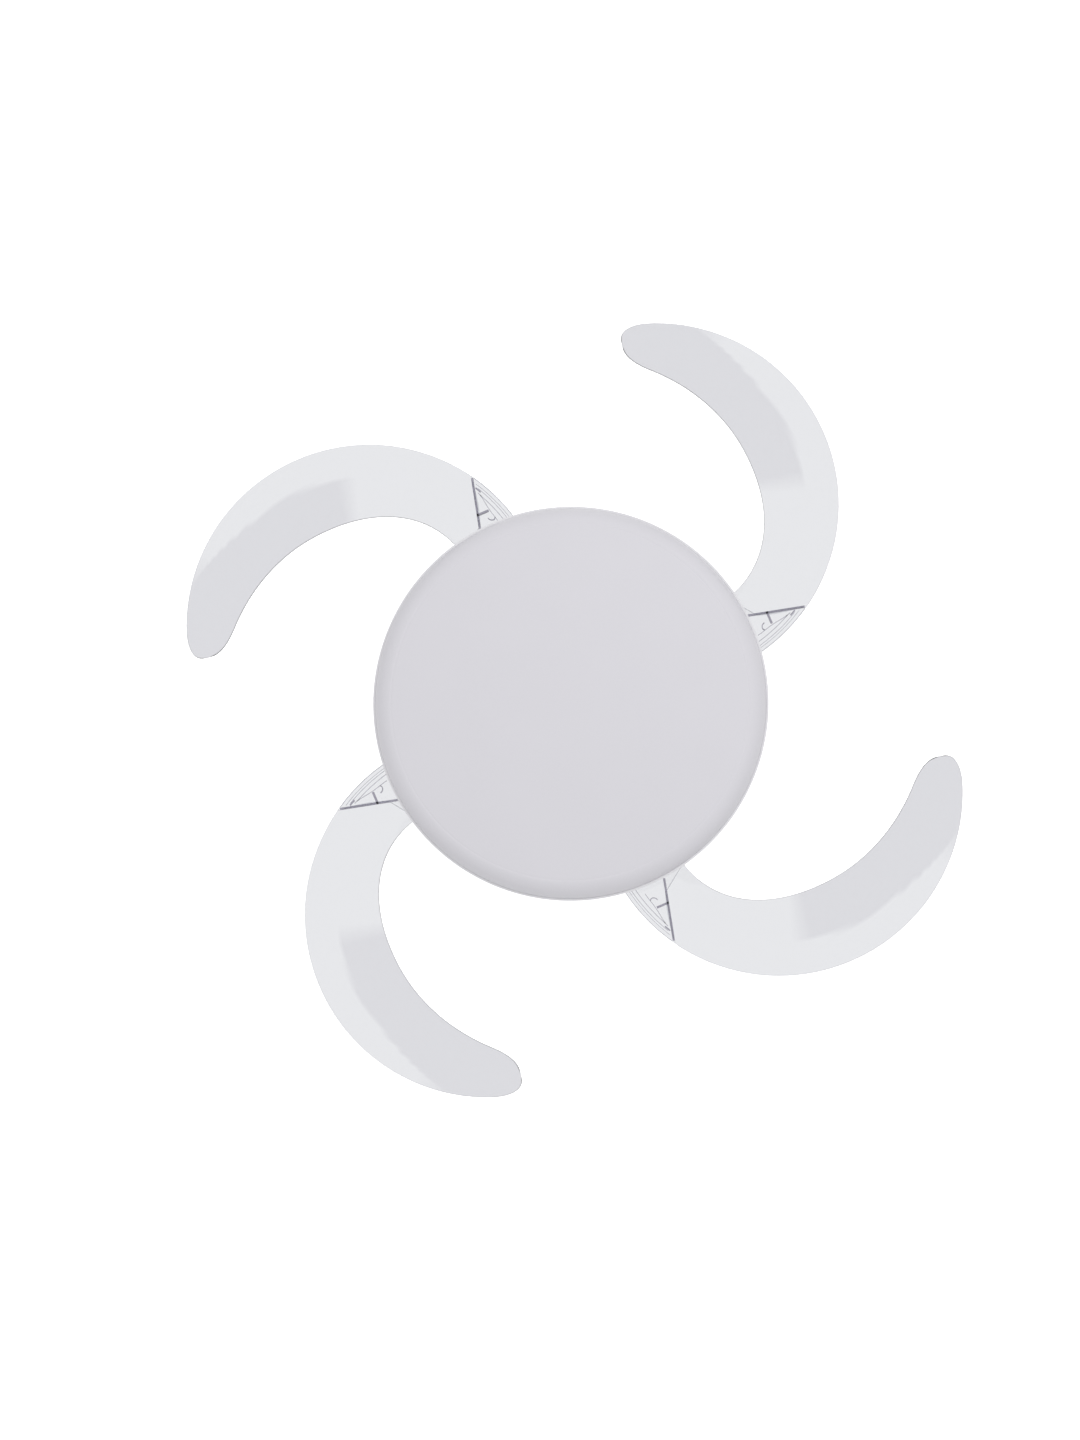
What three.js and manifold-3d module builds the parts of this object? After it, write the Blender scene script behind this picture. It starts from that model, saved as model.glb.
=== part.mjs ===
// A ceiling fan with a lamp and four clear crescent blades that fold away above the lamp.
// Millimetres, +Z up. The origin is on the ceiling, at the middle of the mounting bracket's
// upper face, and everything hangs below it. At rest the blades are open.
import * as THREE from 'three';
import { mergeVertices } from 'three/addons/utils/BufferGeometryUtils.js';
import Module from 'manifold-3d';

const wasm = await Module();
wasm.setup();

// ---------- driving dimensions ----------

const BLADES = 4;
const SEAT_GAP = 0.3; // between pieces that are fixed to each other
const RUN_GAP = 0.6; // between pieces that turn against each other

// Ceiling fixing and canopy.
const BRACKET_LENGTH = 149;
const BRACKET_WIDTH = 60;
const BRACKET_END_WIDTH = 28;
const BRACKET_CHAMFER = 6;
const BRACKET_SHEET = 3;
const EAR_WIDTH = 20;
const EAR_DROP = 22;
const SLOT_LENGTH = 22;
const SLOT_WIDTH = 6;
const SLOT_OFFSET = 58;
const CABLE_HOLE_RADIUS = 7;
const CABLE_HOLE_OFFSET = 20;
const STIRRUP_GAP = 66;
const STIRRUP_WIDTH = 40;
const STIRRUP_SHEET = 3;
const STIRRUP_FOOT = 16;
const STIRRUP_DROP = 44;
const CANOPY_RADIUS = 80;
const CANOPY_WALL = 2.5;
const CANOPY_TOP = -1;
const CANOPY_BOTTOM = -67;
const CANOPY_CORNER = 12;
const CANOPY_MOUTH_RADIUS = 26;
const CANOPY_SCREW_LEVEL = -15;
const SCREW_RADIUS = 2;
const SCREW_HEAD_RADIUS = 4;
const SCREW_HEAD_HEIGHT = 2.6;
const SCREW_LENGTH = 12;
const RECEIVER_LENGTH = 58;
const RECEIVER_WIDTH = 22;
const RECEIVER_HEIGHT = 20;
const RECEIVER_OFFSET = 41; // beside the bracket
const RECEIVER_TAB = 4;
const RECEIVER_TAB_WIDTH = 14;
const RECEIVER_TAB_SHEET = 2;
const TERMINAL_LENGTH = 40;
const TERMINAL_WIDTH = 7;
const TERMINAL_HEIGHT = 12;
const TERMINAL_OFFSET = -26;
const TERMINAL_PITCH = 12;
const TERMINAL_POST_RADIUS = 3.5;
const TERMINAL_POST_LENGTH = 3;

// Hollow shaft with its nuts, and the lamp's lead inside it.
const SHAFT_RADIUS = 10;
const SHAFT_BORE_RADIUS = 6;
const SHAFT_TOP = -30;
const SHAFT_END = 4; // below the lamp's nut
const SHAFT_NUT_RADIUS = 17;
const SHAFT_NUT_HEIGHT = 7;
const LEAD_RADIUS = 2.5;
const LEAD_FACETS = 8;
const LEAD_STEPS = 20;

// Motor: wound stator on the shaft, magnets and shells around it.
const MOTOR_TOP = -82;
const MOTOR_RADIUS = 97;
const SHELL_WALL = 4;
const SHELL_CHAMFER = 6;
const SHELL_FLANGE = 15;
const SHELL_FLANGE_SHEET = 3;
const SHELL_LEDGE = 10; // the rim of the lower shell, under the synchronising gear
const SHELL_LEDGE_SHEET = 3;
const LOWER_CHAMFER = 13;
const MOTOR_BOTTOM = -146;
const BEARING_RADIUS = 21;
const BEARING_HEIGHT = 12;
const BEARING_LIP = 2;
const MOUTH_GAP = 4; // between the shells' mouths and the shaft
const HUB_WALL = 5;
const MAGNET_THICKNESS = 4;
const MAGNET_HEIGHT = 30;
const AIR_GAP = 0.9;
const STATOR_POLES = 12;
const STATOR_HEIGHT = 22;
const POLE_NECK = 14;
const POLE_SHOE = 4;
const POLE_SHOE_ANGLE = 25;
const YOKE_RADIUS = 52;
const WINDING_RADIUS = 78;
const WINDING_LOBE = 3;
const WINDING_HEIGHT = 6;

// Blade carrier, its cover and the pivots.
const CARRIER_TOP = -100;
const CARRIER_SHEET = 2.5;
const CARRIER_RIM = 22; // outside the pivots
const WINDOW_RIM = 30; // metal left inside and outside the carrier's windows
const WINDOW_START = 22; // degrees from a pivot
const WINDOW_END = 68;
const COVER_SHEET = 2.5;
const COVER_CLEARANCE = 7; // outside the carrier
const COVER_SKIRT = 20;
const COVER_SHOULDER = 26; // width and fall of the slope round the flat top
const COVER_SHOULDER_DROP = 4;
const COVER_EDGE_ROUND = 9;
const COVER_EDGE_DROP = 5;
const COVER_MOUTH_RADIUS = 34;
const PIVOT_RADIUS = 200; // from the fan's axis to each pivot
const FIRST_PIVOT_ANGLE = 65.9;
const PIN_RADIUS = 5;
const PIN_HEAD_RADIUS = 11;
const PIN_HEAD_HEIGHT = 3;
const PIN_COLLAR_RADIUS = 8;
const PIN_STUB = 9;
const BUSH_WALL = 2;
const BUSH_FLANGE = 1.2;
const SPRING_WIRE = 1.8;
const SPRING_PITCH = 2.6;
const SPRING_TURNS = 2.5;
const SPRING_LEG = 12;
const SPRING_STEPS = 24;

// Gears that open all blades together.
const GEAR_MODULE = 4;
const PRESSURE_ANGLE = 20;
const BLADE_GEAR_TEETH = 20;
const GEAR_THICKNESS = 8;
const BACKLASH = 0.8;
const BLADE_GEAR_HUB = 18;
const SPARE_TEETH = 1; // past each end of the teeth in use
const ROOT_DEPTH = 1.25; // below the pitch circle, in modules
const SYNC_RIM = 17;
const SYNC_WINDOW_RIM = 12; // below the teeth
const SYNC_WINDOW_HUB = 2;
const SYNC_WINDOW_INSET = 5; // degrees from the outermost teeth
const SYNC_BLANK_STEP = 9; // degrees for each facet of the plain arcs
const BLADE_GEAR_BLANK_STEP = 30;

// Blades, drawn folded: a crescent around the fan's own axis.
const FOLD_ANGLE = 93.3; // a blade's turn from folded to open
const BLADE_OVERHANG = 39.5; // from the pivot out to the outer edge
const BLADE_WIDTH = 96; // from the outer edge to the inner edge's mean radius
const BLADE_INNER_SWAY = 11;
const BLADE_SWAY_START = 20;
const BLADE_SWAY_LENGTH = 150;
const TIP_TAPER_START = 112;
const TIP_TAPER_LENGTH = 48;
const TIP_TAPER = 20;
const TIP_ROUND_START = 160;
const BLADE_END = 172.5;
const BLADE_THICKNESS = 2.4;
const BLADE_DROP = 13; // lower by this much for each quarter turn of arc
const BLADE_SET_DOWN = 4;
const BLADE_PITCH = 0.14; // rise of the outer edge for each millimetre of radius
const BLADE_CAMBER = 3;
const BLEND_ANGLE = 25;
const WING_OVERLAP = 1.5; // degrees that the wing runs into the root plate
const WING_ROWS = 21;
const WING_COLUMNS = 4;
const ROW_CROWDING = 0.5; // how much the rows crowd towards the tip
const EDGE_THINNING = 0.4;
const TIP_BLUNTNESS = 0.995;
const ROOT_SHEET = 3;
const ROOT_BOSS_RADIUS = 24;
const ROOT_BOSS_REACH = 22; // where the plate's sides leave the boss
const ROOT_BOSS_RISE = 6;
const ROOT_OUTER_START = 5; // degrees of arc from the pivot
const ROOT_OUTER_STEPS = 5;
const ROOT_APEX = 35;
const ROOT_MIDDLE = 20.6;
const ROOT_MIDDLE_INSET = 46.1; // from the outer edge
const ROOT_CORNER_INSET = 84.9; // from the outer edge
const ROOT_CORNER = 16;
const RIB_HEIGHT = 5;
const RIB_WALL = 2.4;
const RIB_INSET = 16;
const RIB_END_ANGLE = 4; // the edge rib's ends, inside the plate's
const CROSS_RIB_PLACE = 0.62; // along the long rib, from its outer end
const CROSS_RIB_REACH = 0.35; // of the way to the edge rib's end

// Lamp.
const LAMP_COVERING = 14; // how far the drum reaches past the folded blades
const LAMP_HEIGHT = 37;
const LAMP_SHEET = 1.6;
const LAMP_CORNER = 9;
const LAMP_FLANGE_RADIUS = 60;
const LAMP_FLANGE_SHEET = 4;
const LAMP_HUB_RADIUS = 17;
const LAMP_HUB_HEIGHT = 3;
const LAMP_HUB_BEVEL = 4;
const MOTOR_TO_LAMP = 4;
const THUMB_SCREWS = 3;
const FIRST_THUMB_SCREW_ANGLE = 150;
const THUMB_SCREW_CIRCLE = 45;
const THUMB_HEAD_RADIUS = 5;
const THUMB_HEAD_HEIGHT = 5;
const THUMB_SCREW_SINK = 0.5;
const BOARD_INNER_RADIUS = 120;
const BOARD_OUTER_RADIUS = 214;
const BOARD_SHEET = 1.6;
const LED_COUNT = 16;
const LED_SIZE = 6;
const LED_HEIGHT = 1.2;
const LED_SINK = 0.4;
const DRIVER_LENGTH = 110;
const DRIVER_WIDTH = 46;
const DRIVER_HEIGHT = 22;
const DRIVER_OFFSET = 60;
const DRIVER_FOOT = 10;
const DRIVER_FOOT_SHEET = 2;
const TRIM_PROUD = 1.8; // outside the drum
const TRIM_HEIGHT = 2.6;
const DIFFUSER_PROUD = 1.5;
const DIFFUSER_SHEET = 2.5;
const DIFFUSER_LIP = 7;
const SHOULDER_HEIGHT = 25;
const SHOULDER_WIDTH = 25;
const DOME_RISE = 9;
const DOME_MIDDLE = 0.75; // of the rise, at half the crease's radius
const SHOULDER_STEPS = 3;
const CLIPS = 3;
const FIRST_CLIP_ANGLE = 30;
const CLIP_WIDTH = 16;
const CLIP_SHEET = 1.2;
const CLIP_LENGTH = 16;
const CLIP_RISE = 6; // above the diffuser's lip
const CLIP_HOOK = 3;

// Facets of round shapes, in multiples of four so that corners line up.
const ROUND_LARGE = 36;
const ROUND_MEDIUM = 24;
const ROUND_SMALL = 20;
const ROUND_TINY = 12;

// ---------- levels and sizes that follow ----------

const CARRIER_RADIUS = PIVOT_RADIUS + CARRIER_RIM;
const COVER_RADIUS = CARRIER_RADIUS + COVER_CLEARANCE;
const COVER_FLAT_RADIUS = MOTOR_RADIUS + SHELL_FLANGE;
const BLADE_OUTER_RADIUS = PIVOT_RADIUS + BLADE_OVERHANG;
const BLADE_INNER_RADIUS = BLADE_OUTER_RADIUS - BLADE_WIDTH;
const LAMP_RADIUS = BLADE_OUTER_RADIUS + LAMP_COVERING;
const TRIM_RADIUS = LAMP_RADIUS + TRIM_PROUD;
const DIFFUSER_RADIUS = LAMP_RADIUS + DIFFUSER_PROUD;
const CREASE_RADIUS = DIFFUSER_RADIUS - SHOULDER_WIDTH;

const LAMP_FLANGE_TOP = MOTOR_BOTTOM - MOTOR_TO_LAMP;
const LAMP_TOP = LAMP_FLANGE_TOP - LAMP_FLANGE_SHEET - SEAT_GAP;
const LAMP_INNER_TOP = LAMP_TOP - LAMP_SHEET;
const LAMP_BOTTOM = LAMP_TOP - LAMP_HEIGHT;
const TRIM_TOP = LAMP_BOTTOM - SEAT_GAP;
const DIFFUSER_TOP = TRIM_TOP - TRIM_HEIGHT - SEAT_GAP;
const LIP_RADIUS = LAMP_RADIUS - LAMP_SHEET - SEAT_GAP;
const LAMP_NUT_TOP = LAMP_INNER_TOP - SEAT_GAP;
const SHAFT_BOTTOM = LAMP_NUT_TOP - SHAFT_NUT_HEIGHT - SHAFT_END;
const STIRRUP_BOTTOM = -BRACKET_SHEET - STIRRUP_DROP;
const CARRIER_BOTTOM = CARRIER_TOP - CARRIER_SHEET;
const FLANGE_TOP = CARRIER_TOP + SEAT_GAP + SHELL_FLANGE_SHEET;
const GEAR_TOP = CARRIER_BOTTOM - RUN_GAP;
const GEAR_BOTTOM = GEAR_TOP - GEAR_THICKNESS;
const ROOT_TOP = GEAR_BOTTOM - SEAT_GAP;
const ROOT_BOTTOM = ROOT_TOP - ROOT_SHEET;
const PIN_HEAD_TOP = ROOT_BOTTOM - SEAT_GAP - BUSH_FLANGE - SEAT_GAP;
const SYNC_LEDGE_TOP = GEAR_BOTTOM - RUN_GAP;
const MOTOR_MIDDLE = (MOTOR_TOP + MOTOR_BOTTOM) / 2;
const STATOR_RADIUS = MOTOR_RADIUS - SHELL_WALL - SEAT_GAP - MAGNET_THICKNESS - AIR_GAP;
const BUSH_BORE = PIN_RADIUS + SEAT_GAP;
const BUSH_RADIUS = BUSH_BORE + BUSH_WALL;
const PIVOT_BORE = BUSH_RADIUS + SEAT_GAP;
const COVER_TOP = MOTOR_TOP + SEAT_GAP + COVER_SHEET;
const COVER_RIM = COVER_TOP - COVER_EDGE_DROP - COVER_SKIRT;
const SHELL_MOUTH_RADIUS = SHAFT_RADIUS + MOUTH_GAP;
const BEARING_POCKET_RADIUS = BEARING_RADIUS + SEAT_GAP;
const BEARING_HUB_RADIUS = BEARING_POCKET_RADIUS + HUB_WALL;

const degrees = THREE.MathUtils.degToRad;

const BLADE_GEAR = involuteGear(BLADE_GEAR_TEETH);
const SYNC_GEAR = involuteGear((2 * PIVOT_RADIUS) / GEAR_MODULE - BLADE_GEAR_TEETH);
const SYNC_TURN = (FOLD_ANGLE * BLADE_GEAR_TEETH) / SYNC_GEAR.teeth;

// ---------- materials ----------

const finish = (metalness) => (color, roughness) => (
  new THREE.MeshStandardMaterial({ color, roughness, metalness })
);
const plastic = finish(0);
const metal = finish(1);

const MATERIALS = {
  steel: metal(0xb4b6ba, 0.35),
  brass: metal(0xb59a5a, 0.35),
  aluminium: metal(0xc4c6c9, 0.45),
  lamination: metal(0x6f7276, 0.5),
  magnet: metal(0x3b3c40, 0.5),
  copper: metal(0xa8622e, 0.4),
  whitePaint: plastic(0xe9e9ec, 0.35),
  whitePlastic: plastic(0xededf0, 0.4),
  gearPlastic: plastic(0xd8d8d2, 0.5),
  greyPlastic: plastic(0x8f9196, 0.5),
  boardWhite: plastic(0xf2f2ee, 0.5),
  cable: plastic(0x77787c, 0.6),
  opal: plastic(0xd9d8dd, 0.3),
  clear: new THREE.MeshStandardMaterial({
    color: 0xe4e7ee, roughness: 0.08, metalness: 0, transparent: true, opacity: 0.45,
  }),
};

// ---------- solids ----------

// A solid of revolution about Z, from a closed outline of [radius, height] points.
function revolve(outline, segments) {
  const points = outline.map(([radius, height]) => new THREE.Vector2(radius, height));
  if (THREE.ShapeUtils.area(points) < 0) points.reverse();
  const closesOnAxis = outline[0][0] === 0 && outline.at(-1)[0] === 0;
  if (!closesOnAxis) points.push(points[0].clone());
  return new THREE.LatheGeometry(points, segments).rotateX(Math.PI / 2);
}

function ring(outerRadius, innerRadius, top, bottom, segments) {
  const outline = [[innerRadius, bottom], [outerRadius, bottom], [outerRadius, top], [innerRadius, top]];
  return revolve(outline, segments);
}

function rod(radius, top, bottom, segments) {
  const geometry = new THREE.CylinderGeometry(radius, radius, top - bottom, segments);
  return geometry.rotateX(Math.PI / 2).translate(0, 0, (top + bottom) / 2);
}

function block(width, depth, top, bottom, x = 0, y = 0) {
  return new THREE.BoxGeometry(width, depth, top - bottom).translate(x, y, (top + bottom) / 2);
}

// A flat plate with the shape's outline, between two heights.
function plate(shape, top, bottom, curveSegments = 6) {
  const options = { depth: top - bottom, bevelEnabled: false, curveSegments };
  return new THREE.ExtrudeGeometry(shape, options).translate(0, 0, bottom);
}

// A bent strip: an outline of [x, z] points, carried along Y.
function strip(outline, width) {
  const shape = new THREE.Shape(outline.map(([x, z]) => new THREE.Vector2(x, z)));
  return plate(shape, width / 2, -width / 2).rotateX(Math.PI / 2);
}

function circleShape(radius, segments, x = 0, y = 0) {
  const points = [];
  for (let i = 0; i < segments; i += 1) {
    const angle = (2 * Math.PI * i) / segments;
    points.push(new THREE.Vector2(x + radius * Math.cos(angle), y + radius * Math.sin(angle)));
  }
  return new THREE.Shape(points);
}

function solidOf(geometry) {
  const bare = geometry.clone();
  bare.deleteAttribute('normal');
  bare.deleteAttribute('uv');
  const merged = mergeVertices(bare, 1e-4);
  return new wasm.Manifold(new wasm.Mesh({
    numProp: 3,
    vertProperties: new Float32Array(merged.attributes.position.array),
    triVerts: new Uint32Array(merged.index.array),
  }));
}

function geometryOf(solid) {
  const { vertProperties, triVerts } = solid.getMesh();
  const geometry = new THREE.BufferGeometry();
  geometry.setAttribute('position', new THREE.BufferAttribute(vertProperties, 3));
  geometry.setIndex(new THREE.BufferAttribute(triVerts, 1));
  return geometry;
}

function join(first, ...others) {
  return geometryOf(others.reduce((solid, other) => solid.add(solidOf(other)), solidOf(first)));
}

function cut(body, ...tools) {
  return geometryOf(tools.reduce((solid, tool) => solid.subtract(solidOf(tool)), solidOf(body)));
}

// Calls make(angle, number) for each of a ring of equal pieces.
function around(count, firstAngle, make) {
  return Array.from({ length: count }, (_, i) => make(firstAngle + (360 * i) / count, i + 1));
}

const turned = (geometry, angle) => geometry.rotateZ(degrees(angle));

// ---------- involute gears ----------

function involuteGear(teeth) {
  const pitchRadius = (GEAR_MODULE * teeth) / 2;
  const toothWidth = (Math.PI * GEAR_MODULE - BACKLASH) / 2;
  return {
    teeth,
    pitchRadius,
    baseRadius: pitchRadius * Math.cos(THREE.MathUtils.degToRad(PRESSURE_ANGLE)),
    tipRadius: pitchRadius + GEAR_MODULE,
    rootRadius: pitchRadius - ROOT_DEPTH * GEAR_MODULE,
    halfTooth: toothWidth / 2 / pitchRadius,
    step: 360 / teeth,
  };
}

// Half the angle that a tooth spans at a radius, in degrees.
function halfToothAngle(gear, radius) {
  const involute = (r) => {
    const pressure = Math.acos(Math.min(1, gear.baseRadius / r));
    return Math.tan(pressure) - pressure;
  };
  return THREE.MathUtils.radToDeg(gear.halfTooth + involute(gear.pitchRadius) - involute(radius));
}

function polar(radius, angle) {
  return new THREE.Vector2(radius * Math.cos(degrees(angle)), radius * Math.sin(degrees(angle)));
}

// On a small gear the flank starts above the root. On a large one it starts at the root and is
// nearly straight, so it needs no middle point.
function toothOutline(gear, angle) {
  const small = gear.baseRadius > gear.rootRadius;
  const start = small ? gear.baseRadius : gear.rootRadius;
  const radii = small ? [start, gear.pitchRadius, gear.tipRadius] : [start, gear.tipRadius];
  const rising = radii.map((r) => polar(r, angle - halfToothAngle(gear, r)));
  const falling = radii.map((r) => polar(r, angle + halfToothAngle(gear, r))).reverse();
  const foot = halfToothAngle(gear, start);
  const footPoint = (side) => (small ? [polar(gear.rootRadius, angle + side * foot)] : []);
  return [...footPoint(-1), ...rising, ...falling, ...footPoint(1)];
}

// Toothed sectors, with plain arcs of the blank radius between them.
function gearShape(gear, firstTeeth, toothCount, blankRadius, blankStep) {
  const points = [];
  firstTeeth.forEach((first, index) => {
    for (let i = 0; i < toothCount; i += 1) {
      points.push(...toothOutline(gear, first + i * gear.step));
    }
    const next = (firstTeeth[index + 1] ?? firstTeeth[0] + 360) - gear.step;
    const from = first + toothCount * gear.step;
    const steps = Math.max(2, Math.round((next - from) / blankStep));
    points.push(polar(gear.rootRadius, from - gear.step / 2));
    for (let i = 0; i <= steps; i += 1) {
      points.push(polar(blankRadius, from + ((next - from) * i) / steps));
    }
    points.push(polar(gear.rootRadius, next + gear.step / 2));
  });
  return new THREE.Shape(points);
}

// ---------- ceiling fixing ----------

function mountingBracket() {
  const [endX, endY] = [BRACKET_LENGTH / 2, BRACKET_END_WIDTH / 2];
  const [sideX, sideY] = [endX - BRACKET_CHAMFER, BRACKET_WIDTH / 2];
  const outline = new THREE.Shape([
    [endX, -endY], [endX, endY], [sideX, sideY], [-sideX, sideY],
    [-endX, endY], [-endX, -endY], [-sideX, -sideY], [sideX, -sideY],
  ].map(([x, y]) => new THREE.Vector2(x, y)));
  [-SLOT_OFFSET, SLOT_OFFSET].forEach((x) => {
    const slot = new THREE.Path();
    const half = (SLOT_LENGTH - SLOT_WIDTH) / 2;
    slot.absarc(x, half, SLOT_WIDTH / 2, 0, Math.PI);
    slot.absarc(x, -half, SLOT_WIDTH / 2, Math.PI, 2 * Math.PI);
    outline.holes.push(slot);
  });
  outline.holes.push(circleShape(CABLE_HOLE_RADIUS, ROUND_TINY, 0, CABLE_HOLE_OFFSET));
  const ear = (side) => {
    const x = side * (BRACKET_LENGTH / 2 - BRACKET_SHEET / 2);
    return block(BRACKET_SHEET, EAR_WIDTH, -BRACKET_SHEET / 2, -EAR_DROP, x);
  };
  const folded = join(plate(outline, 0, -BRACKET_SHEET), ear(-1), ear(1));
  return cut(folded, canopyScrewHoles());
}

// One long bar through both ears and both walls of the canopy.
function canopyScrewHoles() {
  const bar = rod(SCREW_RADIUS + SEAT_GAP, 2 * CANOPY_RADIUS, -2 * CANOPY_RADIUS, ROUND_TINY);
  return bar.rotateY(Math.PI / 2).translate(0, 0, CANOPY_SCREW_LEVEL);
}

// A bent strap that carries the shaft below the bracket.
function stirrup() {
  const inner = STIRRUP_GAP / 2;
  const outer = inner + STIRRUP_SHEET;
  const top = -BRACKET_SHEET;
  const footBottom = top - STIRRUP_SHEET;
  const seat = STIRRUP_BOTTOM + STIRRUP_SHEET;
  const strap = strip([
    [-outer - STIRRUP_FOOT, top], [-outer - STIRRUP_FOOT, footBottom], [-outer, footBottom],
    [-outer, STIRRUP_BOTTOM], [outer, STIRRUP_BOTTOM], [outer, footBottom],
    [outer + STIRRUP_FOOT, footBottom], [outer + STIRRUP_FOOT, top], [inner, top],
    [inner, seat], [-inner, seat], [-inner, top],
  ], STIRRUP_WIDTH);
  return cut(strap, rod(SHAFT_RADIUS + SEAT_GAP, seat + 1, STIRRUP_BOTTOM - 1, ROUND_SMALL));
}

function hexNut(top) {
  const shape = circleShape(SHAFT_NUT_RADIUS, 6);
  shape.holes.push(circleShape(SHAFT_RADIUS + SEAT_GAP, ROUND_SMALL));
  return plate(shape, top, top - SHAFT_NUT_HEIGHT);
}

function shaft() {
  return ring(SHAFT_RADIUS, SHAFT_BORE_RADIUS, SHAFT_TOP, SHAFT_BOTTOM, ROUND_SMALL);
}

function canopy() {
  const centre = [CANOPY_RADIUS - CANOPY_CORNER, CANOPY_BOTTOM + CANOPY_CORNER];
  const shell = revolve([
    [CANOPY_MOUTH_RADIUS, CANOPY_BOTTOM],
    ...cornerArc(centre, CANOPY_CORNER, 270, 360),
    [CANOPY_RADIUS, CANOPY_TOP],
    [CANOPY_RADIUS - CANOPY_WALL, CANOPY_TOP],
    ...cornerArc(centre, CANOPY_CORNER - CANOPY_WALL, 360, 270),
    [CANOPY_MOUTH_RADIUS, CANOPY_BOTTOM + CANOPY_WALL],
  ], ROUND_MEDIUM);
  return cut(shell, canopyScrewHoles());
}

// Points on an arc in the [radius, height] plane.
function cornerArc([centreRadius, centreHeight], radius, fromAngle, toAngle, steps = 2) {
  return Array.from({ length: steps + 1 }, (_, i) => {
    const point = polar(radius, fromAngle + ((toAngle - fromAngle) * i) / steps);
    return [centreRadius + point.x, centreHeight + point.y];
  });
}

// A pan-head screw in the canopy's side: its tip points at the axis.
function canopyScrew(side) {
  const screw = revolve([
    [0, -SCREW_LENGTH], [SCREW_RADIUS, -SCREW_LENGTH], [SCREW_RADIUS, 0],
    [SCREW_HEAD_RADIUS, 0], [SCREW_HEAD_RADIUS * 0.8, SCREW_HEAD_HEIGHT], [0, SCREW_HEAD_HEIGHT],
  ], ROUND_TINY);
  screw.rotateY(Math.PI / 2).translate(CANOPY_RADIUS + SEAT_GAP, 0, CANOPY_SCREW_LEVEL);
  return side > 0 ? screw : screw.rotateZ(Math.PI);
}

function receiverModule() {
  const top = -BRACKET_SHEET - SEAT_GAP;
  const box = block(RECEIVER_LENGTH, RECEIVER_WIDTH, top, top - RECEIVER_HEIGHT);
  const tabLength = RECEIVER_LENGTH + 2 * RECEIVER_TAB;
  const tabs = block(tabLength, RECEIVER_TAB_WIDTH, top, top - RECEIVER_TAB_SHEET);
  return join(box, tabs).translate(0, RECEIVER_OFFSET, 0);
}

function terminalBlock() {
  const top = -BRACKET_SHEET;
  const bottom = top - TERMINAL_HEIGHT;
  const posts = [-TERMINAL_PITCH, 0, TERMINAL_PITCH].map((x) => (
    rod(TERMINAL_POST_RADIUS, bottom + 1, bottom - TERMINAL_POST_LENGTH, ROUND_TINY).translate(x, 0, 0)
  ));
  const body = block(TERMINAL_LENGTH, TERMINAL_WIDTH, top, bottom);
  return join(body, ...posts).translate(0, TERMINAL_OFFSET, 0);
}

// The lamp's lead: from the terminals, down the hollow shaft, to the driver.
function lampLead() {
  const start = TERMINAL_OFFSET + TERMINAL_WIDTH / 2 + SEAT_GAP + 0.1;
  const startLevel = -BRACKET_SHEET - TERMINAL_HEIGHT / 2;
  const end = DRIVER_OFFSET - DRIVER_WIDTH / 2 - SEAT_GAP;
  const bend = SHAFT_BOTTOM - 3 * LEAD_RADIUS;
  const endLevel = bend + 3;
  const route = new THREE.CatmullRomCurve3([
    [start, startLevel], [start + 4.1, startLevel], [start + 14.1, startLevel - 3],
    [-1, SHAFT_TOP + 9], [0, SHAFT_TOP], [0, MOTOR_TOP], [0, SHAFT_BOTTOM + 8],
    [1, SHAFT_BOTTOM - 2], [9, bend], [20, bend], [end - 3 * LEAD_RADIUS, endLevel], [end, endLevel],
  ].map(([y, z]) => new THREE.Vector3(0, y, z)), false, 'centripetal');
  const options = { extrudePath: route, steps: LEAD_STEPS, bevelEnabled: false };
  return new THREE.ExtrudeGeometry(circleShape(LEAD_RADIUS, LEAD_FACETS), options);
}

// ---------- motor ----------

function rotorTopShell() {
  const inner = MOTOR_RADIUS - SHELL_WALL;
  const flangeRadius = MOTOR_RADIUS + SHELL_FLANGE;
  const flangeBottom = FLANGE_TOP - SHELL_FLANGE_SHEET;
  const bottom = SYNC_LEDGE_TOP + SEAT_GAP;
  const hubBottom = MOTOR_TOP - BEARING_LIP - BEARING_HEIGHT;
  return revolve([
    [SHELL_MOUTH_RADIUS, MOTOR_TOP], [MOTOR_RADIUS - SHELL_CHAMFER, MOTOR_TOP],
    [MOTOR_RADIUS, MOTOR_TOP - SHELL_CHAMFER],
    [MOTOR_RADIUS, FLANGE_TOP], [flangeRadius, FLANGE_TOP], [flangeRadius, flangeBottom],
    [MOTOR_RADIUS, flangeBottom], [MOTOR_RADIUS, bottom], [inner, bottom],
    [inner, MOTOR_TOP - SHELL_WALL], [BEARING_HUB_RADIUS, MOTOR_TOP - SHELL_WALL],
    [BEARING_HUB_RADIUS, hubBottom], [BEARING_POCKET_RADIUS, hubBottom],
    [BEARING_POCKET_RADIUS, MOTOR_TOP - BEARING_LIP], [SHELL_MOUTH_RADIUS, MOTOR_TOP - BEARING_LIP],
  ], ROUND_MEDIUM);
}

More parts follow.
